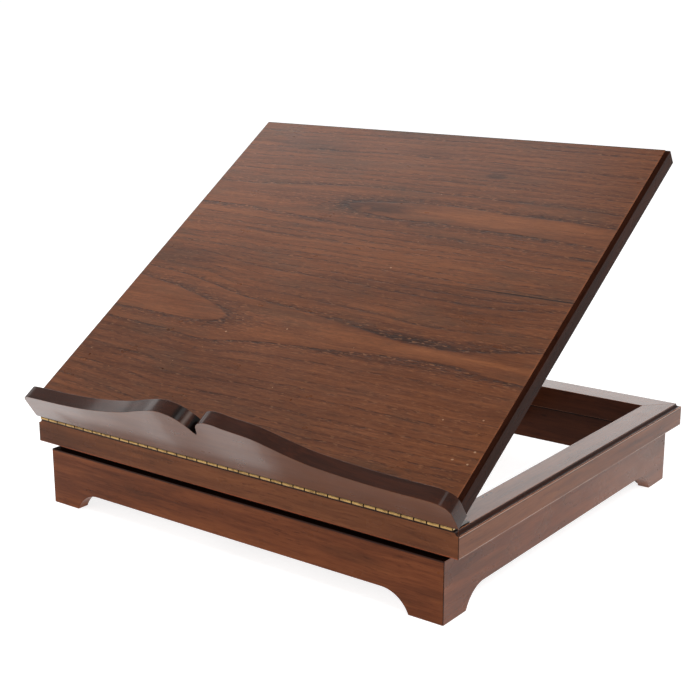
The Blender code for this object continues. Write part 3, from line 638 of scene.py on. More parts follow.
_fm.set(Coat_Weight=_fm.math('MULTIPLY', _fw, _fz))
_fm.p.inputs["Coat IOR"].default_value = 2.0
# painted shade along the bottom of the lip's face, just above the hinge
band(M_LIP_FACE, 'z', BOARD_LOW * 1000 - 2.0, BOARD_LOW * 1000 + 0.9, 0.4, GRIME_AND_SHADE, 0.95)
M_RAIL = {k: wood("wood_top_rail_" + k, ax, *RAIL, seed=sd, rough=rg, spec=sp, pores=0.8, smudge=0.30)
          for k, ax, sd, rg, sp in (("front", 'x', 101.0, 0.24, 0.10), ("back", 'x', 147.0, 0.19, 0.24),
                                    ("left", 'y', 203.0, 0.19, 0.20), ("right", 'y', 251.0, 0.19, 0.20))}
M_BASE = {k: wood("wood_base_" + k, ax, *BASE, seed=sd, rough=rg, spec=sp, pores=0.7, smudge=0.38)
          for k, ax, sd, rg, sp in (("front", 'x', 307.0, 0.30, 0.09), ("back", 'x', 353.0, 0.30, 0.15),
                                    ("left", 'y', 409.0, 0.28, 0.24), ("right", 'y', 461.0, 0.28, 0.26))}
# darker copies of the wood for the inward faces of the frame and base: painted shade
M_INSIDE_X = wood("wood_inside_across", 'x', *INSIDE, seed=811.0, rough=0.34, spec=0.08)
M_INSIDE_Y = wood("wood_inside_along", 'y', *INSIDE, seed=853.0, rough=0.34, spec=0.08)
M_STEP_X = wood("wood_step_across", 'x', *DEEP, seed=877.0, rough=0.24, spec=0.12)
M_STEP_Y = wood("wood_step_along", 'y', *DEEP, seed=907.0, rough=0.24, spec=0.12)
# pale wood for the narrow step ledge: a painted highlight
M_LEDGE = wood("wood_step_ledge", 'y', PAINTED_HIGHLIGHT, (0.26, 0.17, 0.13), (0.34, 0.25, 0.20), seed=991.0, rough=0.2, spec=0.5)
# near-black wood for the top faces of the base boards in the gap under the top frame: painted shade
M_SHADE = wood("wood_hidden_ledge", 'x', *INNER, seed=1013.0, rough=0.6, spec=0.02)
# pale red wood for the softened edges of the side and back rails: painted highlights
M_ARRIS_X = wood("wood_arris_across", 'x', DEEP[2], PAINTED_HIGHLIGHT, (0.34, 0.13, 0.06), seed=941.0, rough=0.20, spec=0.25)
M_ARRIS_Y = wood("wood_arris_along", 'y', DEEP[2], PAINTED_HIGHLIGHT, (0.34, 0.13, 0.06), seed=967.0, rough=0.20, spec=0.25)
# painted highlights along the lower arrises of the top rails, pale on the sides and back, red on the front
mm = 1000.0
for k, col, am in (("right", (0.42, 0.30, 0.24), 0.9), ("left", (0.42, 0.30, 0.24), 0.8), ("back", PAINTED_HIGHLIGHT, 0.8),
                   ("front", (0.26, 0.055, 0.018), 0.8)):
    band(M_RAIL[k], 'z', RAIL_BOTTOM * mm - 2.0, RAIL_BOTTOM * mm + 0.75, 0.25, col, am, 0.55, (55.0, 55.0, 55.0))
edge_z = (RAIL_TOP - STEP_H) * mm
# painted highlight along the top of each rail's outer face just under the step, with a painted shade line below it
for k in ("left", "right", "back"):
    band(M_RAIL[k], 'z', edge_z - 1.35, edge_z + 0.2, 0.25, (0.400, 0.290, 0.230), 0.85, 0.35, (70.0, 70.0, 70.0))
    band(M_RAIL[k], 'z', edge_z - 2.40, edge_z - 1.65, 0.25, GRIME_AND_SHADE, 0.65, 0.4, (60.0, 60.0, 60.0))
# painted shade along the top of the front rail under the hinge, and along the top of the base's front board under the
# top frame
band(M_RAIL["front"], 'z', RAIL_TOP * mm - 1.3, RAIL_TOP * mm + 1.0, 0.35, GRIME_AND_SHADE, 0.95)
band(M_BASE["front"], 'z', BASE_TOP * mm - 1.5, BASE_TOP * mm + 1.0, 0.6, GRIME_AND_SHADE, 0.9)
# the veneer's own edges: dark along the back and left, rubbed red along the right
band(M_PANEL, 'y', (BOARD_END - BOARD_STEP_W) * mm - 0.9, (BOARD_END - BOARD_STEP_W) * mm + 1.0, 0.3,
     (0.014, 0.009, 0.011), 0.9)
band(M_PANEL, 'x', -(BOARD_HALF - BOARD_STEP_W) * mm - 1.0, -(BOARD_HALF - BOARD_STEP_W) * mm + 0.7, 0.3,
     (0.014, 0.009, 0.011), 0.8)
band(M_PANEL, 'x', (BOARD_HALF - BOARD_STEP_W) * mm - 0.9, (BOARD_HALF - BOARD_STEP_W) * mm + 1.0, 0.25,
     (0.260, 0.080, 0.030), 0.55, 0.85, (22.0, 22.0, 22.0))
# pale specks in the lacquer
marks(M_PANEL, "xy", [(-18.9, 154.0, 0.9, 0.8, 0.0), (-85.5, 137.0, 0.9, 0.8, 0.0), (45.5, 252.8, 0.9, 0.8, 0.0),
                      (241.0, 62.8, 1.1, 0.9, 0.0), (225.5, 50.7, 1.3, 0.8, 0.3), (240.8, 49.3, 1.0, 0.8, 0.0),
                      (196.0, 88.0, 0.8, 0.7, 0.0), (232.0, 96.0, 0.9, 0.7, 0.0)], (0.42, 0.26, 0.16), 0.6)
for sgn in (-1, 1):
    e = sorted((sgn * (BASE_HALF * mm - 0.55), sgn * (BASE_HALF * mm + 2.0)))
    band(M_BASE["front"], 'x', e[0], e[1], 0.2, GRIME_AND_SHADE, 0.85)
    band(M_BASE["back"], 'x', e[0], e[1], 0.2, GRIME_AND_SHADE, 0.85)
    e = sorted((sgn * (H * mm - 0.75), sgn * (H * mm + 2.0)))
    band(M_RAIL["front"], 'x', e[0], e[1], 0.25, GRIME_AND_SHADE, 0.85)
    band(M_RAIL["back"], 'x', e[0], e[1], 0.2, GRIME_AND_SHADE, 0.7)
for k in ("left", "right"):
    band(M_BASE[k], 'y', (FRONT + BASE_FRONT) * mm - 2.0, (FRONT + BASE_FRONT) * mm + 0.55, 0.2, GRIME_AND_SHADE, 0.85)
# paler towards the back of the right side of the base
band(M_BASE["right"], 'y', 90.0, 260.0, 70.0, (0.300, 0.170, 0.125), 0.26)
# painted shade: a darker band meant for the board just above the lip; its y range lies below the veneer, so it does
# not reach it
band(M_PANEL, 'y', -150.0, -62.0, 28.0, (0.006, 0.005, 0.004), 0.24)
# painted shade and a painted highlight where the lip's crest runs down into the notch: dark, bright and dark streaks
band(M_LIP, 'x', -31.0, -24.5, 2.2, (0.003, 0.0015, 0.0012), 0.85)
band(M_LIP, 'x', -22.0, -19.5, 1.4, (0.300, 0.230, 0.200), 0.30)
band(M_LIP, 'x', -17.0, -10.6, 1.6, (0.001, 0.0005, 0.0004), 0.97)
# three small dents by the inner edge of the right rail
marks(M_RAIL["right"], "xy", [(226.2, -122.3, 1.0, 2.3, 0.3), (226.4, -116.2, 0.9, 1.9, 0.1),
                              (226.5, -110.2, 1.0, 1.6, -0.4)], GRIME_AND_SHADE, 1.0)
# near-black wood for the neck strips in the gap between the top frame and the base: painted shade
M_NECK_X = wood("wood_neck_across", 'x', *INNER, seed=503.0, rough=0.5, spec=0.04)
M_NECK_Y = wood("wood_neck_along", 'y', *INNER, seed=541.0, rough=0.5, spec=0.04)
M_BLOCK = wood("wood_corner_block", 'z', *RAW, seed=587.0, rough=0.55, spec=0.3)
M_SLIDE = wood("wood_slide_rail", 'y', *RAIL, seed=613.0, rough=0.42, spec=0.25)
M_PROP = wood("wood_prop_arm", 'y', *RAIL, seed=659.0, rough=0.34, spec=0.25)
M_CROSS = wood("wood_prop_cross", 'x', *RAIL, seed=701.0, rough=0.34, spec=0.25)
M_BRACKET = wood("wood_prop_bracket", 'y', *BASE, seed=743.0, rough=0.34, spec=0.25)
M_HINGE = metal("brass_hinge", (0.46, 0.285, 0.105), (0.10, 0.045, 0.017), 0.26, seed=7.0, tarnish=0.75)
# painted shade with dirt in the narrow joints between the knuckles
_hm = again(M_HINGE)
_ha, _hb, _hc = _hm.coords('x')
_hj = _hm.math('FRACT', _hm.math('DIVIDE', _hm.math('SUBTRACT', _ha, -PITCH * KNUCKLES / 2 * 1000.0), PITCH * 1000.0))
_hd = _hm.math('MULTIPLY', _hm.math('SUBTRACT', 0.5, _hm.math('ABSOLUTE', _hm.math('SUBTRACT', _hj, 0.5))),
               PITCH * 1000.0)
tint(_hm, _hm.remap(_hd, 0.40, 0.95, 0.96, 0.0, True), (0.010, 0.005, 0.003))
# painted shade over the right-hand ends of the leaves under the board's end, and painted shade where the barrel meets
# the rail
_he = _hm.math('MULTIPLY', _hm.remap(_ha, 232.0, 237.0, 0.0, 0.97, True), _hm.remap(_hb, 3.2, 4.6, 0.0, 1.0, True))
_hl = _hm.math('MULTIPLY', _hm.remap(_hc, -1.5, -0.7, 0.9, 0.0, True), _hm.remap(_hb, 0.5, 2.0, 1.0, 0.0, True))
tint(_hm, _hm.math('MAXIMUM', _he, _hl), (0.008, 0.004, 0.0025))
M_BRASS = metal("brass_washer", (0.80, 0.55, 0.22), (0.30, 0.17, 0.06), 0.24, seed=7.0, tarnish=0.5)
M_PIN = metal("brass_hinge_pin", (0.80, 0.56, 0.24), (0.30, 0.18, 0.07), 0.3, seed=19.0)
M_SCREW = metal("brass_screw", (0.84, 0.60, 0.26), (0.34, 0.20, 0.08), 0.24, (3.0, 3.0, 3.0), seed=29.0)
M_KNOB = metal("brass_knob", (0.88, 0.63, 0.27), (0.36, 0.21, 0.08), 0.18, (0.2, 8.0, 8.0), seed=37.0, tarnish=0.25)
M_STEEL = metal("steel_rod", (0.60, 0.60, 0.59), (0.22, 0.20, 0.18), 0.26, (14.0, 0.3, 0.3), seed=43.0, tarnish=0.3)
M_RUBBER = rubber("rubber_buffer")


# ------------------------------------------------------------------ tilting board
def moulded(width, low, high, step_w, step_h, ledge, arris=0.0, n=9):
    """Rail section: (distance in from the outer face, height), with a hollow step along the top edge."""
    pts = [(arris, low), (0.0, low + arris)] if arris else [(0.0, low)]
    pts += [(0.0, high - step_h - 0.0004), (0.0004, high - step_h), (ledge, high - step_h)]
    r = step_w - ledge
    for k in range(1, n):
        a = 0.5 * pi * k / n
        pts.append((ledge + r * sin(a), high - step_h + step_h * (1 - cos(a))))
    pts += [(step_w, high), (width, high), (width, low)]
    return pts


LOW_SCREWS = [-0.170, -0.085, 0.0, 0.085, 0.170]
UP_SCREWS = [-0.2125, -0.1275, -0.0425, 0.0425, 0.1275, 0.2125]
SCREW_AT = 0.0185

panel_u0, panel_u1 = LIP_BACK + GAP, BOARD_END - EDGE_W - GAP
SHEET = 0.0007          # face veneer, laid over the core and the edge mouldings
core_high = BOARD_HIGH - SHEET
piece("board_core", box(-(BOARD_HALF - EDGE_W - GAP * 0.2), BOARD_HALF - EDGE_W - GAP * 0.2,
                        panel_u0, panel_u1 + GAP * 0.8, BOARD_LOW, core_high - 0.00002),
      M_UNDER, "tilting_board", "board_panel", BOARD, 0.0002, 2)
piece("board_face_veneer", box(-(BOARD_HALF - BOARD_STEP_W), BOARD_HALF - BOARD_STEP_W, panel_u0,
                               BOARD_END - BOARD_STEP_W, core_high, BOARD_HIGH),
      M_PANEL, "tilting_board", (), BOARD, 0.00025, 2)
edge = [(d, min(n, core_high - 0.00002)) for d, n in
        moulded(EDGE_W, BOARD_LOW, BOARD_HIGH, BOARD_STEP_W, BOARD_STEP_H, 0.0009, 0.0008)]
edge = [q for i, q in enumerate(edge) if i == 0 or (Vector(q) - Vector(edge[i - 1])).length > 1e-5]
for side, label, mat in ((-1, "left", M_EDGE_L), (1, "right", M_EDGE_R)):
    prof = [(side * (BOARD_HALF - d), n) for d, n in edge]
    piece("board_moulding_" + label,
          prism(prof, 'y', panel_u0, lambda a, b: BOARD_END - (BOARD_HALF - abs(a)) - GAP * 0.2),
          mat, "tilting_board", "board_edge_" + label, BOARD, 0.00035, 2)
prof = [(BOARD_END - d, n) for d, n in edge]
piece("board_moulding_back",
      prism(prof, 'x', lambda a, b: -BOARD_HALF + (BOARD_END - a) + GAP * 0.2,
            lambda a, b: BOARD_HALF - (BOARD_END - a) - GAP * 0.2),
      M_EDGE_B, "tilting_board", "board_edge_back", BOARD, 0.00035, 2)

notch = [i for i, (x, h) in enumerate(LIP_KEYS) if (x, h) == (-0.0100, 0.0430)][0]
crest = spline(LIP_KEYS[:notch + 1])[:-1] + spline(LIP_KEYS[notch:])
outline = [(-LIP_HALF, BOARD_LOW)] + crest + [(LIP_HALF, BOARD_LOW)]
piece("scrolled_lip", prism(outline, 'y', LIP_FRONT, LIP_BACK), M_LIP, "tilting_board",
      "album_lip", BOARD, 0.0009, 3, 28,
      second=((M_LIP_FACE, lambda f: f.normal.y < -0.9),))

# ------------------------------------------------------------------ piano hinge
X0 = -PITCH * KNUCKLES / 2


def leaf(first, h0, h1, screws):
    outline = []
    rings = bmesh.new()
    for k in range(KNUCKLES):
        a, b = X0 + k * PITCH + GAP / 2, X0 + (k + 1) * PITCH - GAP / 2
        if k % 2 == first:
            c = 0.00040
            lathe([(KNUCKLE_R - c, a), (KNUCKLE_R, a + c), (KNUCKLE_R, b - c), (KNUCKLE_R - c, b),
                   (KNUCKLE_BORE, b), (KNUCKLE_BORE, a)], 'x', 0.0, 0.0, 20, rings, True)
            outline += [(a, 0.0024), (a, 0.0007), (b, 0.0007), (b, 0.0024)]
    xe = X0 + KNUCKLES * PITCH - GAP / 2
    if first == 1:
        outline = [(X0 + GAP / 2, 0.0024)] + outline + [(xe, 0.0024)]
    outline += [(xe, LEAF_W), (X0 + GAP / 2, LEAF_W)]
    plate = to_mesh("plate", prism(outline, 'z', h0, h1))
    plate = carve(plate, [rings], 'UNION')
    holes = bmesh.new()
    for x in screws:
        lathe([(0.0, h0 - 0.001), (0.0018, h0 - 0.001), (0.0018, h1 + 0.001), (0.0, h1 + 0.001)],
              'z', x, SCREW_AT, 20, holes)
    return carve(plate, [holes])


leaf_low = RAIL_TOP + GAP - HINGE_Z
leaf_up = BOARD_LOW - GAP - LEAF_T
piece("piano_hinge_lower", leaf(0, leaf_low, leaf_low + LEAF_T, LOW_SCREWS), M_HINGE, "base",
      "hinge_leaf_lower", AT_HINGE, sharp=30)
piece("piano_hinge_upper", leaf(1, leaf_up, leaf_up + LEAF_T, UP_SCREWS), M_HINGE, "tilting_board",
      "hinge_leaf_upper", BOARD, sharp=30)
piece("piano_hinge_pin", lathe([(0.0, X0), (PIN_R * 0.8, X0), (PIN_R, X0 + 0.0002), (PIN_R, -X0 - 0.0002),
                                (PIN_R * 0.8, -X0), (0.0, -X0)], 'x', 0.0, 0.0, 20),
      M_PIN, "base", "hinge_pin", AT_HINGE)


def screw(name, node, x, y, under_head, into, body, at, head_r=0.0026, head_h=0.0007, shank_r=0.0014,
          length=0.0095, turn=0.4):
    """Slotted round-head wood screw with a threaded shank."""
    h = under_head - into * 0.00012
    rings = [(0.0, h - into * head_h)]
    for k in range(1, 6):
        f = k / 6
        rings.append((head_r * sin(f * pi / 2), h - into * head_h * (0.22 + 0.78 * cos(f * pi / 2))))
    rings += [(head_r, h - into * head_h * 0.2), (head_r, h), (shank_r, h)]
    z, end = 0.0012, length - 0.0022
    while z < end:
        rings += [(shank_r, h + into * z), (shank_r * 0.74, h + into * (z + 0.00045))]
        z += 0.0009
    rings += [(shank_r * 0.7, h + into * end), (0.0, h + into * length)]
    me = to_mesh(name, lathe(rings, 'z', x, y, 20))
    slot = box(-head_r * 1.3, head_r * 1.3, -0.00028, 0.00028, -0.00030, 0.0010)
    slot.transform(Matrix.Translation((x, y, h - into * (head_h - 0.00005)))
                   @ Matrix.Rotation(turn, 4, 'Z') @ Matrix.Rotation(pi if into > 0 else 0.0, 4, 'X'))
    piece(name, carve(me, [slot]), M_SCREW, body, node, at, sharp=35)


for i, x in enumerate(LOW_SCREWS):
    screw("lower_leaf_screw_%d" % (i + 1), "hinge_screw_lower_%d" % (i + 1), x, SCREW_AT,
          leaf_low + LEAF_T, -1, "base", AT_HINGE, turn=0.3 + i * 0.9)
for i, x in enumerate(UP_SCREWS):
    screw("upper_leaf_screw_%d" % (i + 1), "hinge_screw_upper_%d" % (i + 1), x, SCREW_AT,
          leaf_up, 1, "tilting_board", BOARD, turn=0.7 + i * 1.1)
FLANGE = 0.0050
for side, label in ((-1, "left"), (1, "right")):
    xm = side * (ARM_OUT + 0.0064)
    for j, du in enumerate((-0.0175, 0.0175)):
        screw("bracket_%s_screw_%d" % (label, j + 1), "bracket_screw_%s_%d" % (label, j + 1), xm,
              PIVOT_U + du, BOARD_LOW - GAP - FLANGE, 1, "tilting_board", BOARD,
              head_h=0.0014, length=0.0140, turn=0.5 + j)

# ------------------------------------------------------------------ top frame


def end_inset(width, neighbour):
    return lambda d: d / width * neighbour + GAP * 0.2


def in_step(f, d, out, step):
    """Faces of the hollow along the upper outer edge."""
    return (d < step and f.center.z > RAIL_TOP - STEP_H - 0.0002 and out > 0.02 and abs(f.normal.z) < 0.999)


side_profile = moulded(SIDE_RAIL, RAIL_BOTTOM, RAIL_TOP, STEP_W, STEP_H, STEP_LEDGE)
kb = BACK_RAIL / SIDE_RAIL
back_profile = moulded(BACK_RAIL, RAIL_BOTTOM, RAIL_TOP, STEP_W * kb, STEP_H, STEP_LEDGE * kb)
for side, label in ((-1, "left"), (1, "right")):
    f_in, b_in = end_inset(SIDE_RAIL, FRONT_RAIL), end_inset(SIDE_RAIL, BACK_RAIL)
    prof = [(side * (H - d), z) for d, z in side_profile]
    # inward faces take the darker inside wood, painted shade; the step ledge and softened edges take painted
    # highlights
    piece("frame_rail_" + label,
          prism(prof, 'y', lambda a, b: FRONT + f_in(H - abs(a)), lambda a, b: FRONT + DEPTH - b_in(H - abs(a))),
          M_RAIL[label], "base", "top_rail_" + label, FLAT, 0.00028, 2,
          second=((M_INSIDE_Y, lambda f, g=side: f.normal.x * g < -0.9),
                  (M_STEP_Y, lambda f, g=side: in_step(f, H - f.center.x * g, f.normal.x * g, STEP_W)),
                  (M_LEDGE, lambda f, g=side: H - f.center.x * g < STEP_W and f.normal.z > 0.999
                   and f.center.z < RAIL_TOP - STEP_H * 0.5)),
          arris=M_ARRIS_Y)
b_out = end_inset(BACK_RAIL, SIDE_RAIL)
prof = [(FRONT + DEPTH - d, z) for d, z in back_profile]
piece("frame_rail_back",
      prism(prof, 'x', lambda a, b: -H + b_out(FRONT + DEPTH - a), lambda a, b: H - b_out(FRONT + DEPTH - a)),
      M_RAIL["back"], "base", "top_rail_back", FLAT, 0.00028, 2,
      second=((M_INSIDE_X, lambda f: f.normal.y < -0.9),
              (M_STEP_X, lambda f: in_step(f, FRONT + DEPTH - f.center.y, f.normal.y, STEP_W * kb))),
      arris=M_ARRIS_X)
f_out = end_inset(FRONT_RAIL, SIDE_RAIL)
prof = [(FRONT, RAIL_BOTTOM), (FRONT + FRONT_RAIL, RAIL_BOTTOM), (FRONT + FRONT_RAIL, RAIL_TOP), (FRONT, RAIL_TOP)]
rail = to_mesh("rail", prism(prof, 'x', lambda a, b: -H + f_out(a - FRONT), lambda a, b: H - f_out(a - FRONT)))
ends = bmesh.new()
for side in (-1, 1):
    nt_ = [(side * (H - d), z) for d, z in side_profile[1:-2]]
    nt_ = ([(side * (H + 0.002), RAIL_TOP - STEP_H - 0.0004)] + nt_
           + [(side * (H - STEP_W), RAIL_TOP + 0.002), (side * (H + 0.002), RAIL_TOP + 0.002)])
    prism(nt_, 'y', FRONT - 0.002, FRONT + 0.012, ends)
piece("frame_rail_front", carve(rail, [ends]), M_RAIL["front"], "base", "top_rail_front",
      FLAT, 0.0004, 2,
      second=((M_INSIDE_X, lambda f: f.normal.y > 0.9 and f.center.y > FRONT + FRONT_RAIL - 0.001),
              (M_STEP_X, lambda f: in_step(f, H - abs(f.center.x), abs(f.normal.x), STEP_W))))


# ------------------------------------------------------------------ footed base
def arch(span, foot):
    r = (ARCH_RUN ** 2 + ARCH_H ** 2) / (2 * ARCH_H)
    cs, cz = foot + ARCH_RUN, ARCH_H - r
    a0, a1 = atan2(0.0 - cz, foot - cs), pi / 2
    curve = [(cs + r * cos(a0 + (a1 - a0) * k / 20), cz + r * sin(a0 + (a1 - a0) * k / 20)) for k in range(21)]
    curve[0] = (foot, 0.0)
    left = [(0.0, BASE_TOP), (0.0, 0.0)] + curve
    return left + [(span - s, z) for s, z in reversed(left)]


def footed(name, node, axis, outline, span, outer, inward, mat):
    bm = bmesh.new()
    front, rear = [], []
    for s, z in outline:
        t = 1.0 if s < span / 2 else -1.0
        s_in = s
        if s < 1e-9 or s > span - 1e-9:
            s_in = s + (BASE_T + GAP * 0.2) * t
            s = s + GAP * 0.2 * t
        front.append((s, z))
        rear.append((s_in, z))

    def P(s, z, d):
        along = s - span / 2 if axis == 'x' else s + FRONT + BASE_FRONT
        return (along, outer + inward * d, z) if axis == 'x' else (outer + inward * d, along, z)

    v0 = [bm.verts.new(P(s, z, 0.0)) for s, z in front]
    v1 = [bm.verts.new(P(s, z, BASE_T)) for s, z in rear]
    n = len(v0)
    bm.faces.new(v0)
    bm.faces.new(v1[::-1])
    for i in range(n):
        j = (i + 1) % n
        bm.faces.new((v0[j], v0[i], v1[i], v1[j]))
    k = 1 if axis == 'x' else 0
    # inward faces take the darker inside wood and the top faces the near-black ledge wood: painted shade
    piece(name, bm, mat, "base", node, FLAT, 0.0005, 2, 28,
          second=((M_INSIDE_X if axis == 'x' else M_INSIDE_Y, lambda f: f.normal[k] * inward > 0.9),
                  (M_SHADE, lambda f: f.normal.z > 0.9 and f.center.z > BASE_TOP - 0.001)))


BL, BD = 2 * BASE_HALF, BASE_BACK - BASE_FRONT
footed("footed_board_front", "base_front_board", 'x', arch(BL, FOOT_FRONT), BL, FRONT + BASE_FRONT, 1, M_BASE["front"])
footed("footed_board_back", "base_back_board", 'x', arch(BL, FOOT_FRONT), BL, FRONT + BASE_BACK, -1, M_BASE["back"])
footed("footed_board_left", "base_left_board", 'y', arch(BD, FOOT_SIDE), BD, -BASE_HALF, 1, M_BASE["left"])
footed("footed_board_right", "base_right_board", 'y', arch(BD, FOOT_SIDE), BD, BASE_HALF, -1, M_BASE["right"])

for k in ("front", "back"):
    dress("neck_strip_" + k, M_NECK_X, 0.0006)
for k in ("left", "right"):
    dress("neck_strip_" + k, M_NECK_Y, 0.0006)
    dress("slide_rail_" + k, M_SLIDE, 0.0006)
    dress("prop_arm_" + k, M_PROP, 0.0008)
    dress("prop_bracket_" + k, M_BRACKET, 0.0005)
    dress("rest_buffer_" + k, M_RUBBER, 0.0008, 3)
for k in ("front_left", "front_right", "back_left", "back_right"):
    dress("corner_block_" + k, M_BLOCK, 0.0006)
for k in ("upper", "lower"):
    dress("prop_cross_rail_" + k, M_CROSS, 0.0009)

# ------------------------------------------------------------------ rods, washers, knobs


def rod(name, node, r, x1, body, at):
    c = 0.0006
    piece(name, lathe([(0.0, -x1), (r - c, -x1), (r, -x1 + c), (r, x1 - c), (r - c, x1), (0.0, x1)],
                      'x', 0.0, 0.0, 40), M_STEEL, body, node, at, sharp=35)


rod("prop_pivot_pin", "prop_pivot_rod", PIVOT_R, ARM_OUT + 0.0122, "tilting_board",
    BOARD @ Matrix.Translation((0.0, PIVOT_U, PIVOT_N)))
rod("sliding_foot_rod", "foot_rod", FOOT_R, 0.0700, "prop", FOOT)
for side, label in ((-1, "left"), (1, "right")):
    a, b = sorted((side * (SLIDE_OUT + GAP), side * (SLIDE_OUT + GAP + 0.0012)))
    c = 0.0002
    piece("slide_washer_" + label,
          lathe([(0.0090 - c, a), (0.0090, a + c), (0.0090, b - c), (0.0090 - c, b), (FOOT_R + 0.00015, b),
                 (FOOT_R + 0.00015, a)], 'x', 0.0, 0.0, 40, None, True),
          M_BRASS, "prop", "washer_" + label, FOOT, sharp=35)
    inner = SLIDE_OUT + 2 * GAP + 0.0012
    # knurled knob: chamfered teeth between two plain collars, a dished outer face and a thread bore
    bm = bmesh.new()
    stations = [(0.0000, 0.0094, 0.0), (0.0004, 0.0100, 0.0), (0.0018, 0.0100, 0.0), (0.0022, 0.0103, 0.4),
                (0.0028, 0.0107, 1.0), (0.0104, 0.0107, 1.0), (0.0110, 0.0103, 0.4), (0.0114, 0.0100, 0.0),
                (0.0124, 0.0100, 0.0), (0.0130, 0.0092, 0.0), (0.0130, 0.0068, 0.0), (0.0124, 0.0060, 0.0),
                (0.0123, 0.0030, 0.0)]
    teeth = 120
    rows = []
    for st, r, k in stations:
        row = []
        for i in range(teeth):
            rr = r + k * (0.00028 if (i // 2) % 2 == 0 else -0.00028)
            an = 2 * pi * i / teeth
            row.append(bm.verts.new((side * (inner + st), rr * cos(an), rr * sin(an))))
        rows.append(row)
    for r, st in ((FOOT_R + 0.0007, 0.0), (FOOT_R + 0.00015, 0.0006), (FOOT_R + 0.00015, 0.0096)):
        rows.insert(0, [bm.verts.new((side * (inner + st), r * cos(2 * pi * i / teeth), r * sin(2 * pi * i / teeth)))
                        for i in range(teeth)])
    for p, q in zip(rows, rows[1:]):
        for i in range(teeth):
            j = (i + 1) % teeth
            bm.faces.new((p[i], p[j], q[j], q[i]))
    bm.faces.new(rows[0])
    bm.faces.new(rows[-1])
    piece("knurled_knob_" + label, bm, M_KNOB, label + "_knob", "clamp_knob_" + label, FOOT, sharp=25)

# ------------------------------------------------------------------ floor, light, camera
floor_mat = Mat("pale_floor")
fa, fb, fc = floor_mat.coords('x')
fn = floor_mat.noise((fa, fb, fc), (60.0, 60.0, 60.0), 3.0)
floor_mat.set(Base_Color=floor_mat.mix(fn, (0.43, 0.43, 0.428), (0.46, 0.46, 0.46)))
floor_mat.p.inputs["Roughness"].default_value = 0.85
floor_mat.p.inputs["Emission Color"].default_value = (1.0, 1.0, 1.0, 1.0)
floor_mat.p.inputs["Emission Strength"].default_value = 0.81
bm = bmesh.new()
bmesh.ops.create_grid(bm, x_segments=2, y_segments=2, size=180.0)
floor_me = bpy.data.meshes.new("studio_floor")
bm.to_mesh(floor_me)
bm.free()
floor_me.materials.append(floor_mat.m)
floor = bpy.data.objects.new("studio_floor", floor_me)
COLL.objects.link(floor)

# far pale backdrop behind the floor, seen only by a low camera
wall_mat = Mat("pale_backdrop")
wall_mat.set(Base_Color=(0.0, 0.0, 0.0, 1.0))
wall_mat.p.inputs["Specular IOR Level"].default_value = 0.0
wall_mat.p.inputs["Emission Color"].default_value = (1.0, 1.0, 1.0, 1.0)
wall_mat.p.inputs["Emission Strength"].default_value = 1.05
bm = bmesh.new()
bmesh.ops.create_cone(bm, cap_ends=False, segments=96, radius1=24.0, radius2=24.0, depth=26.0)
bmesh.ops.translate(bm, verts=bm.verts, vec=(0.0, 0.0, 12.0))
wall_me = bpy.data.meshes.new("studio_backdrop")
bm.to_mesh(wall_me)
bm.free()
wall_me.materials.append(wall_mat.m)
wall = bpy.data.objects.new("studio_backdrop", wall_me)
COLL.objects.link(wall)
wall.visible_diffuse = False
wall.visible_glossy = False
wall.visible_transmission = False
wall.visible_shadow = False

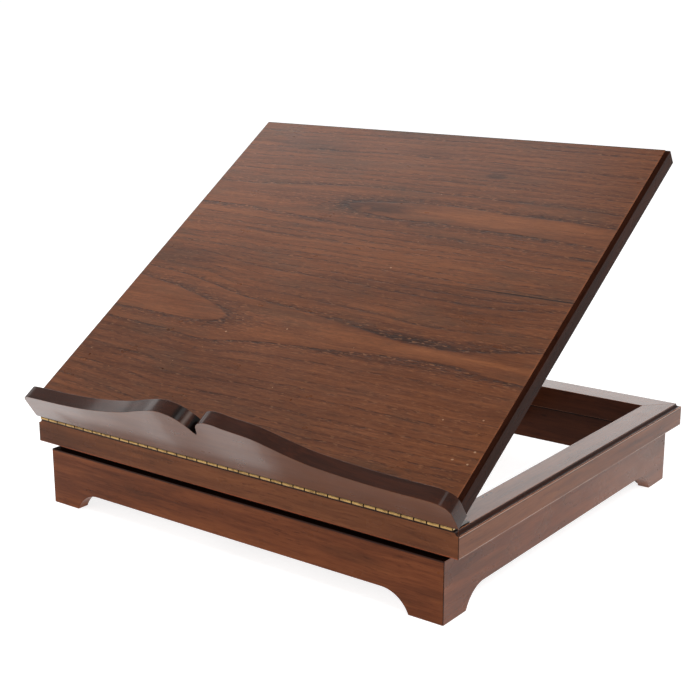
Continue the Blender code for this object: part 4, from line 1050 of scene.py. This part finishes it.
# soft studio surround: an even dome with a broad, brighter side behind on the left
world = bpy.data.worlds.new("studio")
bpy.context.scene.world = world
world.use_nodes = True
wt = world.node_tree
bg = wt.nodes["Background"]
tc = wt.nodes.new("ShaderNodeTexCoord")
dot = wt.nodes.new("ShaderNodeVectorMath")
dot.operation = 'DOT_PRODUCT'
wt.links.new(tc.outputs["Generated"], dot.inputs[0])
dot.inputs[1].default_value = Vector((-0.577, 0.79, 0.20)).normalized()
mr = wt.nodes.new("ShaderNodeMapRange")
mr.interpolation_type = 'SMOOTHSTEP'
wt.links.new(dot.outputs["Value"], mr.inputs[0])
for i, x in enumerate((0.78, 0.99, 0.42, 2.20)):
    mr.inputs[i + 1].default_value = x
wt.links.new(mr.outputs[0], bg.inputs["Strength"])
bg.inputs["Color"].default_value = (1.0, 1.0, 1.0, 1.0)


def softbox(name, loc, aim, size, power, tint=(1.0, 1.0, 1.0)):
    li = bpy.data.lights.new(name, 'AREA')
    li.shape = 'RECTANGLE'
    li.size, li.size_y = size
    li.energy = power
    li.color = tint
    ob = bpy.data.objects.new(name, li)
    ob.location = loc
    ob.rotation_euler = (Vector(aim) - Vector(loc)).to_track_quat('-Z', 'Y').to_euler()
    COLL.objects.link(ob)
    return ob


for sb in (softbox("softbox_right", (1.30, -0.60, 1.60), (0.0, 0.0, 0.1), (0.6, 0.9), 20.0),
           softbox("softbox_floor_left", (-0.62, -0.22, 0.75), (-0.60, -0.22, 0.0), (0.5, 0.7), 4.0),
           softbox("softbox_front", (-0.3, -2.2, 1.6), (0.0, 0.0, 0.15), (1.6, 0.9), 9.0)):
    sb.visible_camera = False
    sb.visible_glossy = sb.name == "softbox_front"
overhead = softbox("softbox_overhead", (-1.00, 0.74, 1.25), (-1.00, 0.74, 0.0), (1.5, 1.0), 9.5)
overhead.visible_camera = False
overhead.visible_diffuse = False

for sb in (softbox("softbox_low_left", (-1.55, 0.05, 0.80), (-0.1, -0.2, 0.1), (0.32, 0.26), 0.32),
           softbox("softbox_small_top", (0.36, -0.38, 1.35), (0.0, -0.22, 0.1), (0.26, 0.26), 0.32)):
    sb.visible_camera = False
    sb.visible_diffuse = False

cam = bpy.data.cameras.new("camera")
cam.lens = 68.87
cam.sensor_width = 36.0
cam.clip_end = 800.0
camera = bpy.data.objects.new("camera", cam)
camera.location = (0.77961, -1.05851, 0.50490)
camera.rotation_euler = (radians(90.0 - 14.843), 0.0, radians(36.627))
COLL.objects.link(camera)
bpy.context.scene.camera = camera
bpy.context.scene.view_settings.view_transform = 'Standard'
